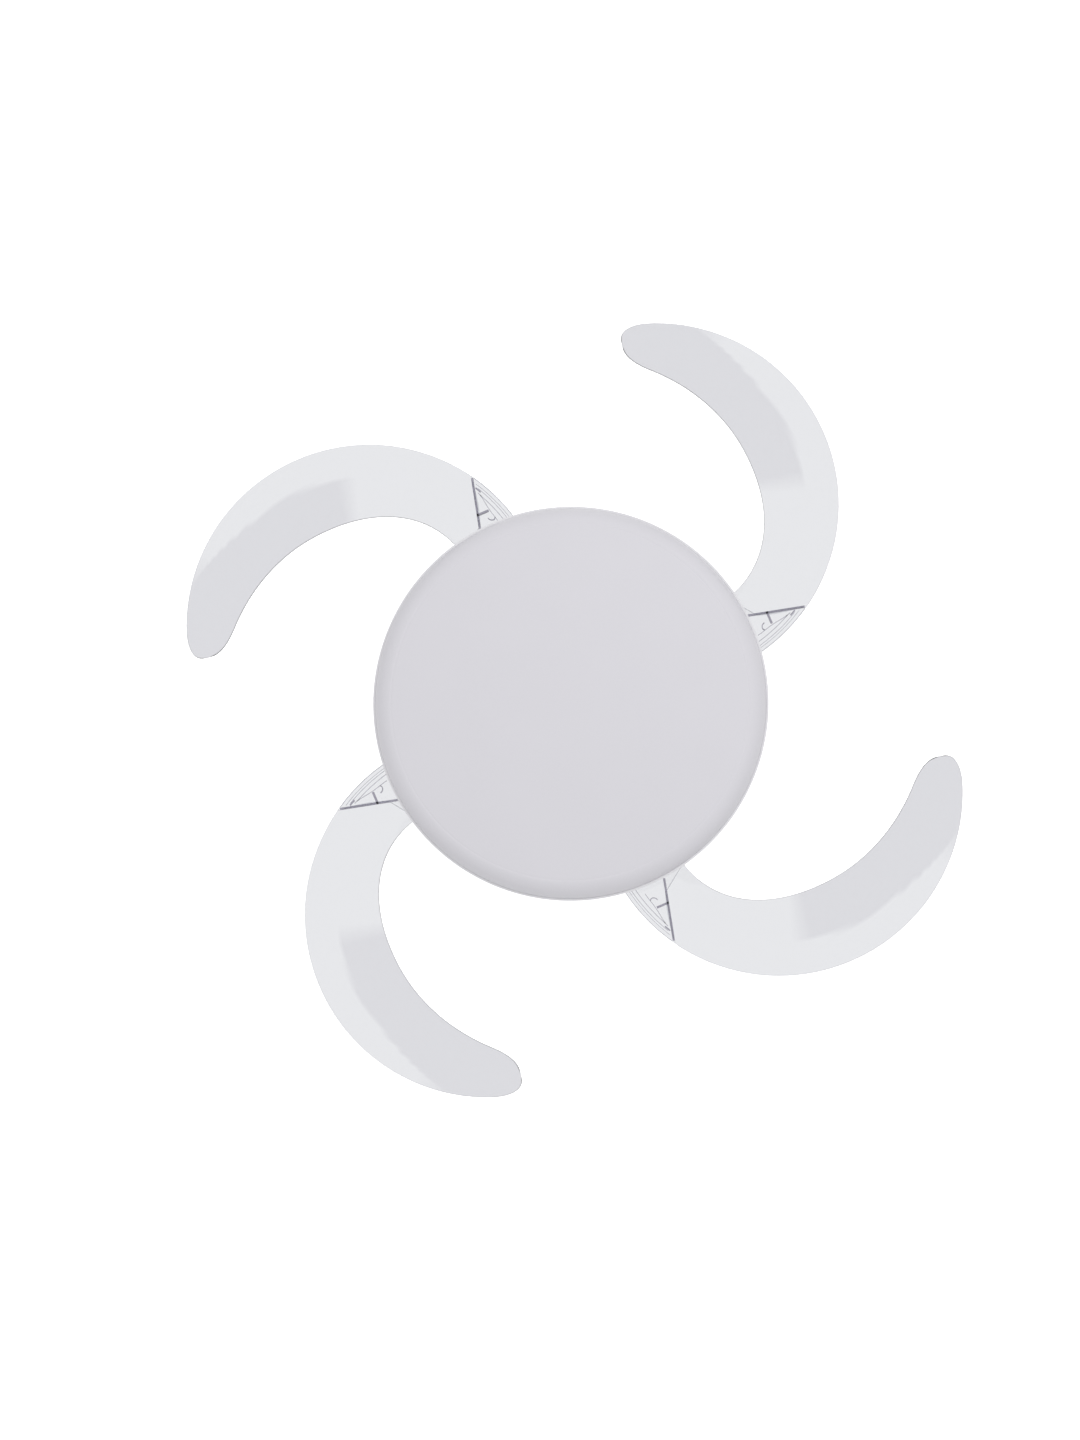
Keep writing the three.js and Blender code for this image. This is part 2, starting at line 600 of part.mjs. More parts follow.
// The lower shell's upper rim is the ledge that the synchronising gear turns on.
function rotorBottomShell() {
  const inner = MOTOR_RADIUS - SHELL_WALL;
  const ledgeRadius = MOTOR_RADIUS + SHELL_LEDGE;
  const ledgeBottom = SYNC_LEDGE_TOP - SHELL_LEDGE_SHEET;
  const hubTop = MOTOR_BOTTOM + BEARING_LIP + BEARING_HEIGHT;
  const inset = LOWER_CHAMFER + SHELL_WALL / 2; // the wall follows the chamfer inside
  return revolve([
    [SHELL_MOUTH_RADIUS, MOTOR_BOTTOM], [MOTOR_RADIUS - LOWER_CHAMFER, MOTOR_BOTTOM],
    [MOTOR_RADIUS, MOTOR_BOTTOM + LOWER_CHAMFER],
    [MOTOR_RADIUS, ledgeBottom], [ledgeRadius, ledgeBottom], [ledgeRadius, SYNC_LEDGE_TOP],
    [inner, SYNC_LEDGE_TOP], [inner, MOTOR_BOTTOM + inset],
    [MOTOR_RADIUS - inset, MOTOR_BOTTOM + SHELL_WALL], [BEARING_HUB_RADIUS, MOTOR_BOTTOM + SHELL_WALL],
    [BEARING_HUB_RADIUS, hubTop], [BEARING_POCKET_RADIUS, hubTop],
    [BEARING_POCKET_RADIUS, MOTOR_BOTTOM + BEARING_LIP], [SHELL_MOUTH_RADIUS, MOTOR_BOTTOM + BEARING_LIP],
  ], ROUND_MEDIUM);
}

function bearing(bottom) {
  return ring(BEARING_RADIUS, SHAFT_RADIUS + RUN_GAP, bottom + BEARING_HEIGHT, bottom, ROUND_SMALL);
}

function magnetRing() {
  const outer = MOTOR_RADIUS - SHELL_WALL - SEAT_GAP;
  const top = MOTOR_MIDDLE + MAGNET_HEIGHT / 2;
  return ring(outer, outer - MAGNET_THICKNESS, top, top - MAGNET_HEIGHT, ROUND_MEDIUM);
}

function statorCore() {
  const neckRadius = STATOR_RADIUS - POLE_SHOE;
  const points = around(STATOR_POLES, 0, (angle) => {
    const neckAngle = (radius) => THREE.MathUtils.radToDeg(Math.asin(POLE_NECK / 2 / radius));
    const shoe = POLE_SHOE_ANGLE / 2;
    return [
      polar(YOKE_RADIUS, angle - neckAngle(YOKE_RADIUS)), polar(neckRadius, angle - neckAngle(neckRadius)),
      polar(neckRadius, angle - shoe), polar(STATOR_RADIUS, angle - shoe), polar(STATOR_RADIUS, angle),
      polar(STATOR_RADIUS, angle + shoe), polar(neckRadius, angle + shoe),
      polar(neckRadius, angle + neckAngle(neckRadius)), polar(YOKE_RADIUS, angle + neckAngle(YOKE_RADIUS)),
    ];
  }).flat();
  const shape = new THREE.Shape(points);
  shape.holes.push(circleShape(SHAFT_RADIUS + SEAT_GAP, ROUND_SMALL));
  return plate(shape, MOTOR_MIDDLE + STATOR_HEIGHT / 2, MOTOR_MIDDLE - STATOR_HEIGHT / 2);
}

// The coils' end turns on one face of the core, one lobe for each pole.
function windingHeads(top) {
  const lobed = [];
  const steps = 3 * STATOR_POLES;
  for (let i = 0; i < steps; i += 1) {
    const angle = (360 * i) / steps;
    lobed.push(polar(WINDING_RADIUS + WINDING_LOBE * Math.cos(degrees(angle * STATOR_POLES)), angle));
  }
  const shape = new THREE.Shape(lobed);
  shape.holes.push(circleShape(YOKE_RADIUS + 3, ROUND_SMALL));
  return plate(shape, top, top - WINDING_HEIGHT);
}

// ---------- blade carrier ----------

function bladeCarrier() {
  const shape = circleShape(CARRIER_RADIUS, ROUND_LARGE);
  shape.holes.push(circleShape(MOTOR_RADIUS + RUN_GAP, ROUND_MEDIUM));
  around(BLADES, FIRST_PIVOT_ANGLE, (angle) => {
    const pivot = polar(PIVOT_RADIUS, angle);
    const [inner, outer] = [MOTOR_RADIUS + WINDOW_RIM, CARRIER_RADIUS - WINDOW_RIM];
    shape.holes.push(circleShape(PIN_RADIUS + SEAT_GAP, ROUND_TINY, pivot.x, pivot.y));
    shape.holes.push(kidneyHole(inner, outer, angle + WINDOW_START, angle + WINDOW_END));
  });
  return plate(shape, CARRIER_TOP, CARRIER_BOTTOM);
}

// A slot that follows the ring, between two radii and two angles.
function kidneyHole(innerRadius, outerRadius, fromAngle, toAngle, steps = 4) {
  const points = [];
  for (let i = 0; i <= steps; i += 1) {
    points.push(polar(outerRadius, fromAngle + ((toAngle - fromAngle) * i) / steps));
  }
  for (let i = steps; i >= 0; i -= 1) {
    points.push(polar(innerRadius, fromAngle + ((toAngle - fromAngle) * i) / steps));
  }
  return new THREE.Path(points);
}

function topCover() {
  const roundCentre = [COVER_RADIUS - COVER_EDGE_ROUND, COVER_TOP - COVER_EDGE_DROP - COVER_EDGE_ROUND];
  const skirtTop = cornerArc(roundCentre, COVER_EDGE_ROUND, 65, 0, 1);
  const top = [
    [COVER_MOUTH_RADIUS, COVER_TOP], [COVER_FLAT_RADIUS, COVER_TOP],
    [COVER_RADIUS - COVER_SHOULDER, COVER_TOP - COVER_SHOULDER_DROP], skirtTop[0],
  ];
  const skirt = [skirtTop[1], [COVER_RADIUS, COVER_RIM]];
  return revolve([
    ...top, ...skirt,
    ...skirt.map(([radius, height]) => [radius - COVER_SHEET, height]).reverse(),
    ...top.map(([radius, height]) => [radius, height - COVER_SHEET]).reverse(),
  ], ROUND_LARGE);
}

// The pin runs through the bush and the carrier, with a head below and a riveted collar above.
function pivotPin() {
  const collarBottom = CARRIER_TOP + SEAT_GAP;
  const collarTop = collarBottom + PIN_HEAD_HEIGHT;
  return revolve([
    [0, PIN_HEAD_TOP - PIN_HEAD_HEIGHT], [PIN_HEAD_RADIUS, PIN_HEAD_TOP - PIN_HEAD_HEIGHT],
    [PIN_HEAD_RADIUS, PIN_HEAD_TOP], [PIN_RADIUS, PIN_HEAD_TOP], [PIN_RADIUS, collarBottom],
    [PIN_COLLAR_RADIUS, collarBottom], [PIN_COLLAR_RADIUS, collarTop], [PIN_RADIUS, collarTop],
    [PIN_RADIUS, collarTop + PIN_STUB], [0, collarTop + PIN_STUB],
  ], ROUND_TINY);
}

// The return spring's wire: a leg, the turns around the pin's stub, and a leg.
class SpringWire extends THREE.Curve {
  getPoint(t, target = new THREE.Vector3()) {
    const radius = PIN_RADIUS + RUN_GAP + SPRING_WIRE;
    const turns = SPRING_TURNS * 2 * Math.PI;
    const coil = turns * radius;
    const along = t * (coil + 2 * SPRING_LEG) - SPRING_LEG;
    const onCoil = THREE.MathUtils.clamp(along, 0, coil);
    const angle = onCoil / radius;
    const leg = along - onCoil;
    return target.set(
      radius * Math.cos(angle) - leg * Math.sin(angle),
      radius * Math.sin(angle) + leg * Math.cos(angle),
      (SPRING_PITCH * angle) / (2 * Math.PI),
    );
  }
}

function returnSpring() {
  const bottom = CARRIER_TOP + SEAT_GAP + PIN_HEAD_HEIGHT + SEAT_GAP + SPRING_WIRE / 2;
  const options = { extrudePath: new SpringWire(), steps: SPRING_STEPS, bevelEnabled: false };
  const wire = new THREE.ExtrudeGeometry(circleShape(SPRING_WIRE / 2, 4), options);
  return wire.translate(0, 0, bottom);
}

// ---------- synchronising gear and blade gears ----------

// Each toothed sector of the large gear starts at the pivot that it drives and runs back by the
// turn that folds the blades, with spare teeth at both ends. Open, a gap faces each pivot.
function syncGear() {
  const used = Math.ceil(SYNC_TURN / SYNC_GEAR.step);
  const count = used + 2 * SPARE_TEETH;
  const firstTeeth = around(BLADES, FIRST_PIVOT_ANGLE, (angle) => (
    angle - (used + SPARE_TEETH - 0.5) * SYNC_GEAR.step
  ));
  const innerRadius = MOTOR_RADIUS + 2 * RUN_GAP;
  const blank = innerRadius + SYNC_RIM;
  const shape = gearShape(SYNC_GEAR, firstTeeth, count, blank, SYNC_BLANK_STEP);
  shape.holes.push(circleShape(innerRadius, ROUND_MEDIUM));
  firstTeeth.forEach((first) => {
    const [inner, outer] = [blank + SYNC_WINDOW_HUB, SYNC_GEAR.rootRadius - SYNC_WINDOW_RIM];
    const last = first + (count - 1) * SYNC_GEAR.step;
    shape.holes.push(kidneyHole(inner, outer, first + SYNC_WINDOW_INSET, last - SYNC_WINDOW_INSET, 2));
  });
  return plate(shape, GEAR_TOP, GEAR_BOTTOM);
}

// In the folded blade's frame, the sector's last used tooth points at the fan's axis.
function bladeGear() {
  const used = Math.ceil(FOLD_ANGLE / BLADE_GEAR.step);
  const first = 180 - FOLD_ANGLE - SPARE_TEETH * BLADE_GEAR.step;
  const count = used + 2 * SPARE_TEETH;
  const shape = gearShape(BLADE_GEAR, [first], count, BLADE_GEAR_HUB, BLADE_GEAR_BLANK_STEP);
  shape.holes.push(circleShape(PIVOT_BORE, ROUND_TINY));
  return plate(shape, GEAR_TOP, GEAR_BOTTOM);
}

function pivotBush() {
  const flangeTop = ROOT_BOTTOM - SEAT_GAP;
  const flangeRadius = PIN_HEAD_RADIUS - 1;
  const flangeBottom = flangeTop - BUSH_FLANGE;
  return revolve([
    [BUSH_BORE, flangeBottom], [flangeRadius, flangeBottom], [flangeRadius, flangeTop],
    [BUSH_RADIUS, flangeTop], [BUSH_RADIUS, GEAR_TOP], [BUSH_BORE, GEAR_TOP],
  ], ROUND_TINY);
}

// ---------- blades ----------

// A point of the folded blade: its arc angle grows away from the pivot, which lies on +X.
const arcPoint = (radius, arc) => polar(radius, -arc);

function innerEdgeRadius(arc) {
  const sway = Math.cos((2 * Math.PI * (arc - BLADE_SWAY_START)) / BLADE_SWAY_LENGTH);
  const taper = Math.max(0, (arc - TIP_TAPER_START) / TIP_TAPER_LENGTH);
  return BLADE_INNER_RADIUS + BLADE_INNER_SWAY * sway + TIP_TAPER * taper ** 3;
}

// The arc angle where the wing leaves the root plate: across is -1 at the inner edge, 1 at the outer.
function wingStart(across) {
  return across < 0
    ? THREE.MathUtils.lerp(ROOT_MIDDLE, ROOT_CORNER, -across)
    : THREE.MathUtils.lerp(ROOT_MIDDLE, ROOT_APEX, across);
}

// Height of the wing's middle surface above the root plate's.
function wingHeight(radius, arc, across) {
  const blend = THREE.MathUtils.smoothstep(arc - wingStart(across), 0, BLEND_ANGLE);
  const middle = (BLADE_OUTER_RADIUS + BLADE_INNER_RADIUS) / 2;
  const fall = BLADE_SET_DOWN + (BLADE_DROP * (arc - ROOT_CORNER)) / 90;
  const tilt = BLADE_PITCH * (radius - middle);
  const arch = BLADE_CAMBER * (1 - across ** 2);
  return blend * (tilt + arch - fall);
}

// The wing is a bent box: rows along the arc, columns from the inner to the outer edge.
function wing() {
  const box = new THREE.BoxGeometry(1, 1, 1, WING_COLUMNS, WING_ROWS, 1);
  const places = box.attributes.position;
  const rootLevel = (ROOT_TOP + ROOT_BOTTOM) / 2;
  for (let i = 0; i < places.count; i += 1) {
    const across = 2 * places.getX(i);
    const along = 0.5 - places.getY(i);
    const start = wingStart(across) - WING_OVERLAP;
    const crowded = along * (1 + ROW_CROWDING * (1 - along));
    const arc = THREE.MathUtils.lerp(start, BLADE_END, crowded);
    const pastRoundStart = (arc - TIP_ROUND_START) / (BLADE_END - TIP_ROUND_START);
    const rounding = THREE.MathUtils.clamp(pastRoundStart, 0, TIP_BLUNTNESS);
    const inner = innerEdgeRadius(arc);
    const halfWidth = ((BLADE_OUTER_RADIUS - inner) / 2) * Math.cbrt(1 - rounding ** 3);
    const radius = (BLADE_OUTER_RADIUS + inner) / 2 + halfWidth * across;
    const thickness = BLADE_THICKNESS * (1 - EDGE_THINNING * across ** 4);
    const place = arcPoint(radius, arc);
    const height = rootLevel + wingHeight(radius, arc, across) + places.getZ(i) * thickness;
    places.setXYZ(i, place.x, place.y, height);
  }
  return box;
}

const rootCorner = () => arcPoint(BLADE_OUTER_RADIUS - ROOT_CORNER_INSET, ROOT_CORNER);
const rootMiddle = () => arcPoint(BLADE_OUTER_RADIUS - ROOT_MIDDLE_INSET, ROOT_MIDDLE);

function rootPlate() {
  const outerArc = Array.from({ length: ROOT_OUTER_STEPS + 1 }, (_, i) => (
    arcPoint(BLADE_OUTER_RADIUS, THREE.MathUtils.lerp(ROOT_APEX, ROOT_OUTER_START, i / ROOT_OUTER_STEPS))
  ));
  const shape = new THREE.Shape([
    new THREE.Vector2(PIVOT_RADIUS + ROOT_BOSS_REACH, ROOT_BOSS_RISE),
    new THREE.Vector2(PIVOT_RADIUS - ROOT_BOSS_REACH, ROOT_BOSS_RISE),
    rootCorner(),
    rootMiddle(),
    ...outerArc,
  ]);
  return plate(shape, ROOT_TOP, ROOT_BOTTOM);
}

// A straight wall under the root plate between two points.
function rib(from, to) {
  const length = from.distanceTo(to);
  const wall = block(length, RIB_WALL, ROOT_BOTTOM + 1, ROOT_BOTTOM - RIB_HEIGHT);
  wall.rotateZ(Math.atan2(to.y - from.y, to.x - from.x));
  return wall.translate((from.x + to.x) / 2, (from.y + to.y) / 2, 0);
}

function rootRibs() {
  const apex = arcPoint(BLADE_OUTER_RADIUS - RIB_WALL, ROOT_APEX - 1);
  const longEnd = rootMiddle();
  const edgeStart = arcPoint(BLADE_OUTER_RADIUS - RIB_INSET, ROOT_APEX - RIB_END_ANGLE);
  const edgeEnd = arcPoint(BLADE_OUTER_RADIUS - RIB_INSET, ROOT_OUTER_START + RIB_END_ANGLE);
  const crossStart = apex.clone().lerp(longEnd, CROSS_RIB_PLACE);
  const crossEnd = crossStart.clone().lerp(edgeEnd, CROSS_RIB_REACH);
  return [rib(apex, longEnd), rib(edgeStart, edgeEnd), rib(crossStart, crossEnd)];
}

function blade() {
  const boss = rod(ROOT_BOSS_RADIUS, ROOT_TOP, ROOT_BOTTOM, ROUND_SMALL).translate(PIVOT_RADIUS, 0, 0);
  const bore = rod(PIVOT_BORE, ROOT_TOP + 1, ROOT_BOTTOM - 1, ROUND_TINY).translate(PIVOT_RADIUS, 0, 0);
  return cut(join(wing(), rootPlate(), boss, ...rootRibs()), bore);
}

// ---------- lamp ----------

function lampFlange() {
  const bottom = LAMP_FLANGE_TOP - LAMP_FLANGE_SHEET;
  const bore = SHAFT_RADIUS + SEAT_GAP;
  const hubTop = LAMP_FLANGE_TOP + LAMP_HUB_HEIGHT;
  const turnedPart = revolve([
    [bore, bottom], [LAMP_FLANGE_RADIUS, bottom], [LAMP_FLANGE_RADIUS, LAMP_FLANGE_TOP],
    [LAMP_HUB_RADIUS, LAMP_FLANGE_TOP], [LAMP_HUB_RADIUS - LAMP_HUB_BEVEL, hubTop], [bore, hubTop],
  ], ROUND_SMALL);
  return cut(turnedPart, ...thumbScrewHoles());
}

function thumbScrewHoles() {
  return around(THUMB_SCREWS, FIRST_THUMB_SCREW_ANGLE, (angle) => {
    const hole = rod(SCREW_RADIUS + SEAT_GAP, LAMP_FLANGE_TOP + 1, LAMP_INNER_TOP - 1, ROUND_TINY);
    return turned(hole.translate(THUMB_SCREW_CIRCLE, 0, 0), angle);
  });
}

function thumbScrew(angle) {
  const headTop = LAMP_INNER_TOP - SEAT_GAP;
  const headBottom = headTop - THUMB_HEAD_HEIGHT;
  const end = LAMP_FLANGE_TOP - THUMB_SCREW_SINK;
  const screw = revolve([
    [0, headBottom], [THUMB_HEAD_RADIUS, headBottom], [THUMB_HEAD_RADIUS, headTop],
    [SCREW_RADIUS, headTop], [SCREW_RADIUS, end], [0, end],
  ], ROUND_TINY);
  return turned(screw.translate(THUMB_SCREW_CIRCLE, 0, 0), angle);
}

// A pressed drum: flat top, rounded corner, upright wall, open below.
function lampPan() {
  const bore = SHAFT_RADIUS + SEAT_GAP;
  const centre = [LAMP_RADIUS - LAMP_CORNER, LAMP_TOP - LAMP_CORNER];
  const shell = revolve([
    [bore, LAMP_TOP],
    ...cornerArc(centre, LAMP_CORNER, 90, 0),
    [LAMP_RADIUS, LAMP_BOTTOM], [LAMP_RADIUS - LAMP_SHEET, LAMP_BOTTOM],
    ...cornerArc(centre, LAMP_CORNER - LAMP_SHEET, 0, 90),
    [bore, LAMP_INNER_TOP],
  ], ROUND_LARGE);
  return cut(shell, ...thumbScrewHoles());
}

function ledBoard() {
  const top = LAMP_INNER_TOP - SEAT_GAP;
  const bottom = top - BOARD_SHEET;
  const disc = ring(BOARD_OUTER_RADIUS, BOARD_INNER_RADIUS, top, bottom, ROUND_MEDIUM);
  const middle = (BOARD_INNER_RADIUS + BOARD_OUTER_RADIUS) / 2;
  const chips = around(LED_COUNT, 0, (angle) => (
    turned(block(LED_SIZE, LED_SIZE, bottom + LED_SINK, bottom - LED_HEIGHT, middle), angle)
  ));
  return join(disc, ...chips);
}

function ledDriver() {
  const top = LAMP_INNER_TOP - SEAT_GAP;
  const box = block(DRIVER_LENGTH, DRIVER_WIDTH, top, top - DRIVER_HEIGHT);
  const feetLength = DRIVER_LENGTH + 2 * DRIVER_FOOT;
  const feet = block(feetLength, DRIVER_WIDTH / 2, top, top - DRIVER_FOOT_SHEET);
  return join(box, feet).translate(0, DRIVER_OFFSET, 0);
}

function trimRing() {
  return ring(TRIM_RADIUS, LIP_RADIUS + SEAT_GAP, TRIM_TOP, TRIM_TOP - TRIM_HEIGHT, ROUND_LARGE);
}

// Opal cover: a lip inside the drum, a rounded shoulder to the crease, and a shallow dome.
function diffuser() {
  const lipTop = DIFFUSER_TOP + DIFFUSER_LIP;
  const crease = DIFFUSER_TOP - SHOULDER_HEIGHT;
  const dome = [
    [0, crease - DOME_RISE], [CREASE_RADIUS / 2, crease - DOME_RISE * DOME_MIDDLE], [CREASE_RADIUS, crease],
  ];
  const inDome = dome.map(([radius, height]) => [radius, height + DIFFUSER_SHEET]).reverse();
  return revolve([
    ...dome,
    ...shoulder(DIFFUSER_RADIUS, 0).reverse(),
    [LIP_RADIUS, DIFFUSER_TOP], [LIP_RADIUS, lipTop], [LIP_RADIUS - DIFFUSER_SHEET, lipTop],
    ...shoulder(DIFFUSER_RADIUS - DIFFUSER_SHEET, DIFFUSER_SHEET),
    ...inDome,
  ], ROUND_LARGE);
}

// The shoulder's curve from the widest edge down to the crease, without its last point. Its first
// point isn't lifted, so the wall starts square.
function shoulder(radius, lift) {
  return Array.from({ length: SHOULDER_STEPS }, (_, i) => {
    const turn = (i / SHOULDER_STEPS) * (Math.PI / 2);
    const reach = CREASE_RADIUS + (radius - CREASE_RADIUS) * Math.cos(turn);
    const height = DIFFUSER_TOP - SHOULDER_HEIGHT * Math.sin(turn);
    return [reach, i === 0 ? height : height + lift];
  });
}

// How far from the axis the flats of a large faceted circle lie.
const flatDistance = (radius) => radius * Math.cos(Math.PI / ROUND_LARGE);

// A sprung tongue on the drum's wall that grips the diffuser's lip.
function diffuserClip(angle) {
  const wall = flatDistance(LAMP_RADIUS - LAMP_SHEET) - SEAT_GAP;
  const lip = flatDistance(LIP_RADIUS - DIFFUSER_SHEET) - SEAT_GAP;
  const top = DIFFUSER_TOP + DIFFUSER_LIP + CLIP_RISE;
  const bottom = top - CLIP_LENGTH;
  const clip = strip([
    [wall, top], [wall, top - CLIP_HOOK], [lip, top - CLIP_HOOK], [lip, bottom],
    [lip - CLIP_SHEET, bottom], [lip - CLIP_SHEET, top],
  ], CLIP_WIDTH);
  return turned(clip, angle);
}

// ---------- the fan ----------

function addMesh(parent, name, geometry, material) {
  const mesh = new THREE.Mesh(geometry, material);
  mesh.name = name;
  parent.add(mesh);
  return mesh;
}

function ceilingFixing() {
  const group = new THREE.Group();
  addMesh(group, 'mounting_bracket', mountingBracket(), MATERIALS.steel);
  addMesh(group, 'hanging_stirrup', stirrup(), MATERIALS.steel);
  addMesh(group, 'canopy', canopy(), MATERIALS.whitePlastic);
  addMesh(group, 'canopy_screw_1', canopyScrew(1), MATERIALS.steel);
  addMesh(group, 'canopy_screw_2', canopyScrew(-1), MATERIALS.steel);
  addMesh(group, 'receiver_module', receiverModule(), MATERIALS.whitePlastic);
  addMesh(group, 'terminal_block', terminalBlock(), MATERIALS.greyPlastic);
  return group;
}

function stator() {
  const group = new THREE.Group();
  const coreTop = MOTOR_MIDDLE + STATOR_HEIGHT / 2;
  const seat = STIRRUP_BOTTOM + STIRRUP_SHEET + SEAT_GAP;
  addMesh(group, 'shaft', shaft(), MATERIALS.steel);
  addMesh(group, 'shaft_nut', hexNut(seat + SHAFT_NUT_HEIGHT), MATERIALS.steel);
  addMesh(group, 'shaft_lock_nut', hexNut(STIRRUP_BOTTOM - SEAT_GAP), MATERIALS.steel);
  addMesh(group, 'stator_core', statorCore(), MATERIALS.lamination);
  addMesh(group, 'winding_top', windingHeads(coreTop + SEAT_GAP + WINDING_HEIGHT), MATERIALS.copper);
  addMesh(group, 'winding_bottom', windingHeads(coreTop - STATOR_HEIGHT - SEAT_GAP), MATERIALS.copper);
  addMesh(group, 'lamp_lead', lampLead(), MATERIALS.cable);
  return group;
}

function lamp() {
  const group = new THREE.Group();
  addMesh(group, 'lamp_flange', lampFlange(), MATERIALS.aluminium);
  addMesh(group, 'lamp_pan', lampPan(), MATERIALS.whitePaint);
  addMesh(group, 'lamp_nut', hexNut(LAMP_NUT_TOP), MATERIALS.steel);
  addMesh(group, 'led_board', ledBoard(), MATERIALS.boardWhite);
  addMesh(group, 'led_driver', ledDriver(), MATERIALS.whitePlastic);
  addMesh(group, 'trim_ring', trimRing(), MATERIALS.whitePaint);
  addMesh(group, 'diffuser', diffuser(), MATERIALS.opal);
  around(THUMB_SCREWS, FIRST_THUMB_SCREW_ANGLE, (angle, number) => {
    addMesh(group, `thumb_screw_${number}`, thumbScrew(angle), MATERIALS.steel);
  });
  around(CLIPS, FIRST_CLIP_ANGLE, (angle, number) => {
    addMesh(group, `diffuser_clip_${number}`, diffuserClip(angle), MATERIALS.steel);
  });
  return group;
}

function rotor() {
  const group = new THREE.Group();
  addMesh(group, 'rotor_top_shell', rotorTopShell(), MATERIALS.aluminium);
  addMesh(group, 'rotor_bottom_shell', rotorBottomShell(), MATERIALS.aluminium);
  addMesh(group, 'magnet_ring', magnetRing(), MATERIALS.magnet);
  const lip = BEARING_LIP + SEAT_GAP;
  addMesh(group, 'top_bearing', bearing(MOTOR_TOP - lip - BEARING_HEIGHT), MATERIALS.steel);
  addMesh(group, 'bottom_bearing', bearing(MOTOR_BOTTOM + lip), MATERIALS.steel);
  addMesh(group, 'blade_carrier', bladeCarrier(), MATERIALS.steel);
  addMesh(group, 'top_cover', topCover(), MATERIALS.whitePlastic);
  addMesh(group, 'sync_gear', syncGear(), MATERIALS.gearPlastic);
  return group;
}

// Everything at one pivot: the pin and spring stay with the carrier, the rest swings with the blade.
function bladePivot(angle, number) {
  const place = new THREE.Group();
  place.rotation.z = degrees(angle);
  const pivot = new THREE.Group();
  pivot.position.x = PIVOT_RADIUS;
  place.add(pivot);
  addMesh(pivot, `pivot_pin_${number}`, pivotPin(), MATERIALS.steel);
  addMesh(pivot, `return_spring_${number}`, returnSpring(), MATERIALS.steel);
  const swing = new THREE.Group();
  swing.rotation.z = degrees(FOLD_ANGLE);
  pivot.add(swing);
  addMesh(swing, `pivot_bush_${number}`, pivotBush(), MATERIALS.brass);
  addMesh(swing, `blade_gear_${number}`, bladeGear(), MATERIALS.gearPlastic);
  addMesh(swing, `blade_${number}`, blade(), MATERIALS.clear).position.x = -PIVOT_RADIUS;
  return place;
}

const fan = new THREE.Group();
fan.add(ceilingFixing(), stator(), lamp(), rotor(), ...around(BLADES, FIRST_PIVOT_ANGLE, bladePivot));

export default fan;
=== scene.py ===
"""A ceiling fan with a lamp and four clear blades that fold away above it.

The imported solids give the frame. This add-on puts the finished surfaces over them: a frosted lamp
cover with its drum and rim, four moulded clear blades with ribbed hinge plates, the fan's cover and
canopy, the motor's shells, the shaft, its nuts, pins and springs. It then gives every remaining
solid its finish, and builds a white studio seen from straight below, as in the photograph.
Sizes are in metres, +Z is up, and the ceiling is at height zero.
"""

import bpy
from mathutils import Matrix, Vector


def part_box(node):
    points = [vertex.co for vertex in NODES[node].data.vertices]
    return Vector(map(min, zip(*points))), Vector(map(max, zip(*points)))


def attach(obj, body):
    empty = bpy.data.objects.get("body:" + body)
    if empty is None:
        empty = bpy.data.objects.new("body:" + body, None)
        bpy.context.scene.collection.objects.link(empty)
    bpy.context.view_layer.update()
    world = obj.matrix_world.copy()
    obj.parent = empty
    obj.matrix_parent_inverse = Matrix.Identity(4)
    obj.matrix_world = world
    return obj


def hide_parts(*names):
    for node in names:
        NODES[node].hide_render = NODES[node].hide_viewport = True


bl_info = {
    "name": "Folding Blade Ceiling Fan",
    "version": (1, 0, 0),
    "blender": (4, 5, 0),
    "location": "3D View > Sidebar > Ceiling Fan",
    "description": "Finished surfaces and a studio for a ceiling fan with a lamp and folding blades",
    "category": "Object",
}

import bpy
import numpy as np
from bpy.props import FloatProperty, FloatVectorProperty, IntProperty, PointerProperty
from mathutils import Matrix, Vector

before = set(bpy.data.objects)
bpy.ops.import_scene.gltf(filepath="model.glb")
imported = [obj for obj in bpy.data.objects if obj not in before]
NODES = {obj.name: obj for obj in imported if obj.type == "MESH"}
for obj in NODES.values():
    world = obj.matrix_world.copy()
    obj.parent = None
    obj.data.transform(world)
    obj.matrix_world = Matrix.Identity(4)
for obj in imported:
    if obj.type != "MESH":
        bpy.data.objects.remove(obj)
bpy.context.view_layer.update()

MM = 0.001
BLADE_NUMBERS = (1, 2, 3, 4)
LIP_RADIUS, LIP_HEIGHT = 251.6 * MM, 7 * MM  # the frosted cover's lip inside the rim
RIM_BORE = 251.9 * MM
SHAFT_RADIUS, SHAFT_BORE = 10 * MM, 6 * MM
SHAFT_HOLE = 10.3 * MM  # in what sits on the shaft
NUT_CORNERS = 17 * MM
BUSH_BORE, BOSS_RADIUS = 7.6 * MM, 24 * MM  # in a blade's hinge plate
PIN_HEAD_RADIUS, PIN_HEAD_HEIGHT = 11 * MM, 3 * MM
COLLAR_RADIUS, COLLAR_HEIGHT, PIN_STUB = 8 * MM, 3 * MM, 12 * MM
GEAR_GAP = 0.3 * MM  # between a blade's gear and its hinge plate


def low(node):
    """The height of a solid's lowest point."""
    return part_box(node)[0].z


def high(node):
    """The height of a solid's highest point."""
    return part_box(node)[1].z


def reach(node):
    """How far a round solid on the fan's axis reaches along X."""
    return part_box(node)[1].x


# ---------------------------------------------------------------- sizes and colours


def length(name, description, default):
    """A size in metres for one of the property groups."""
    return FloatProperty(name=name, description=description, default=default, unit="LENGTH", precision=5)


def turn(name, description, degrees):
    """An angle for one of the property groups."""
    return FloatProperty(name=name, description=description, default=np.radians(degrees), unit="ROTATION")


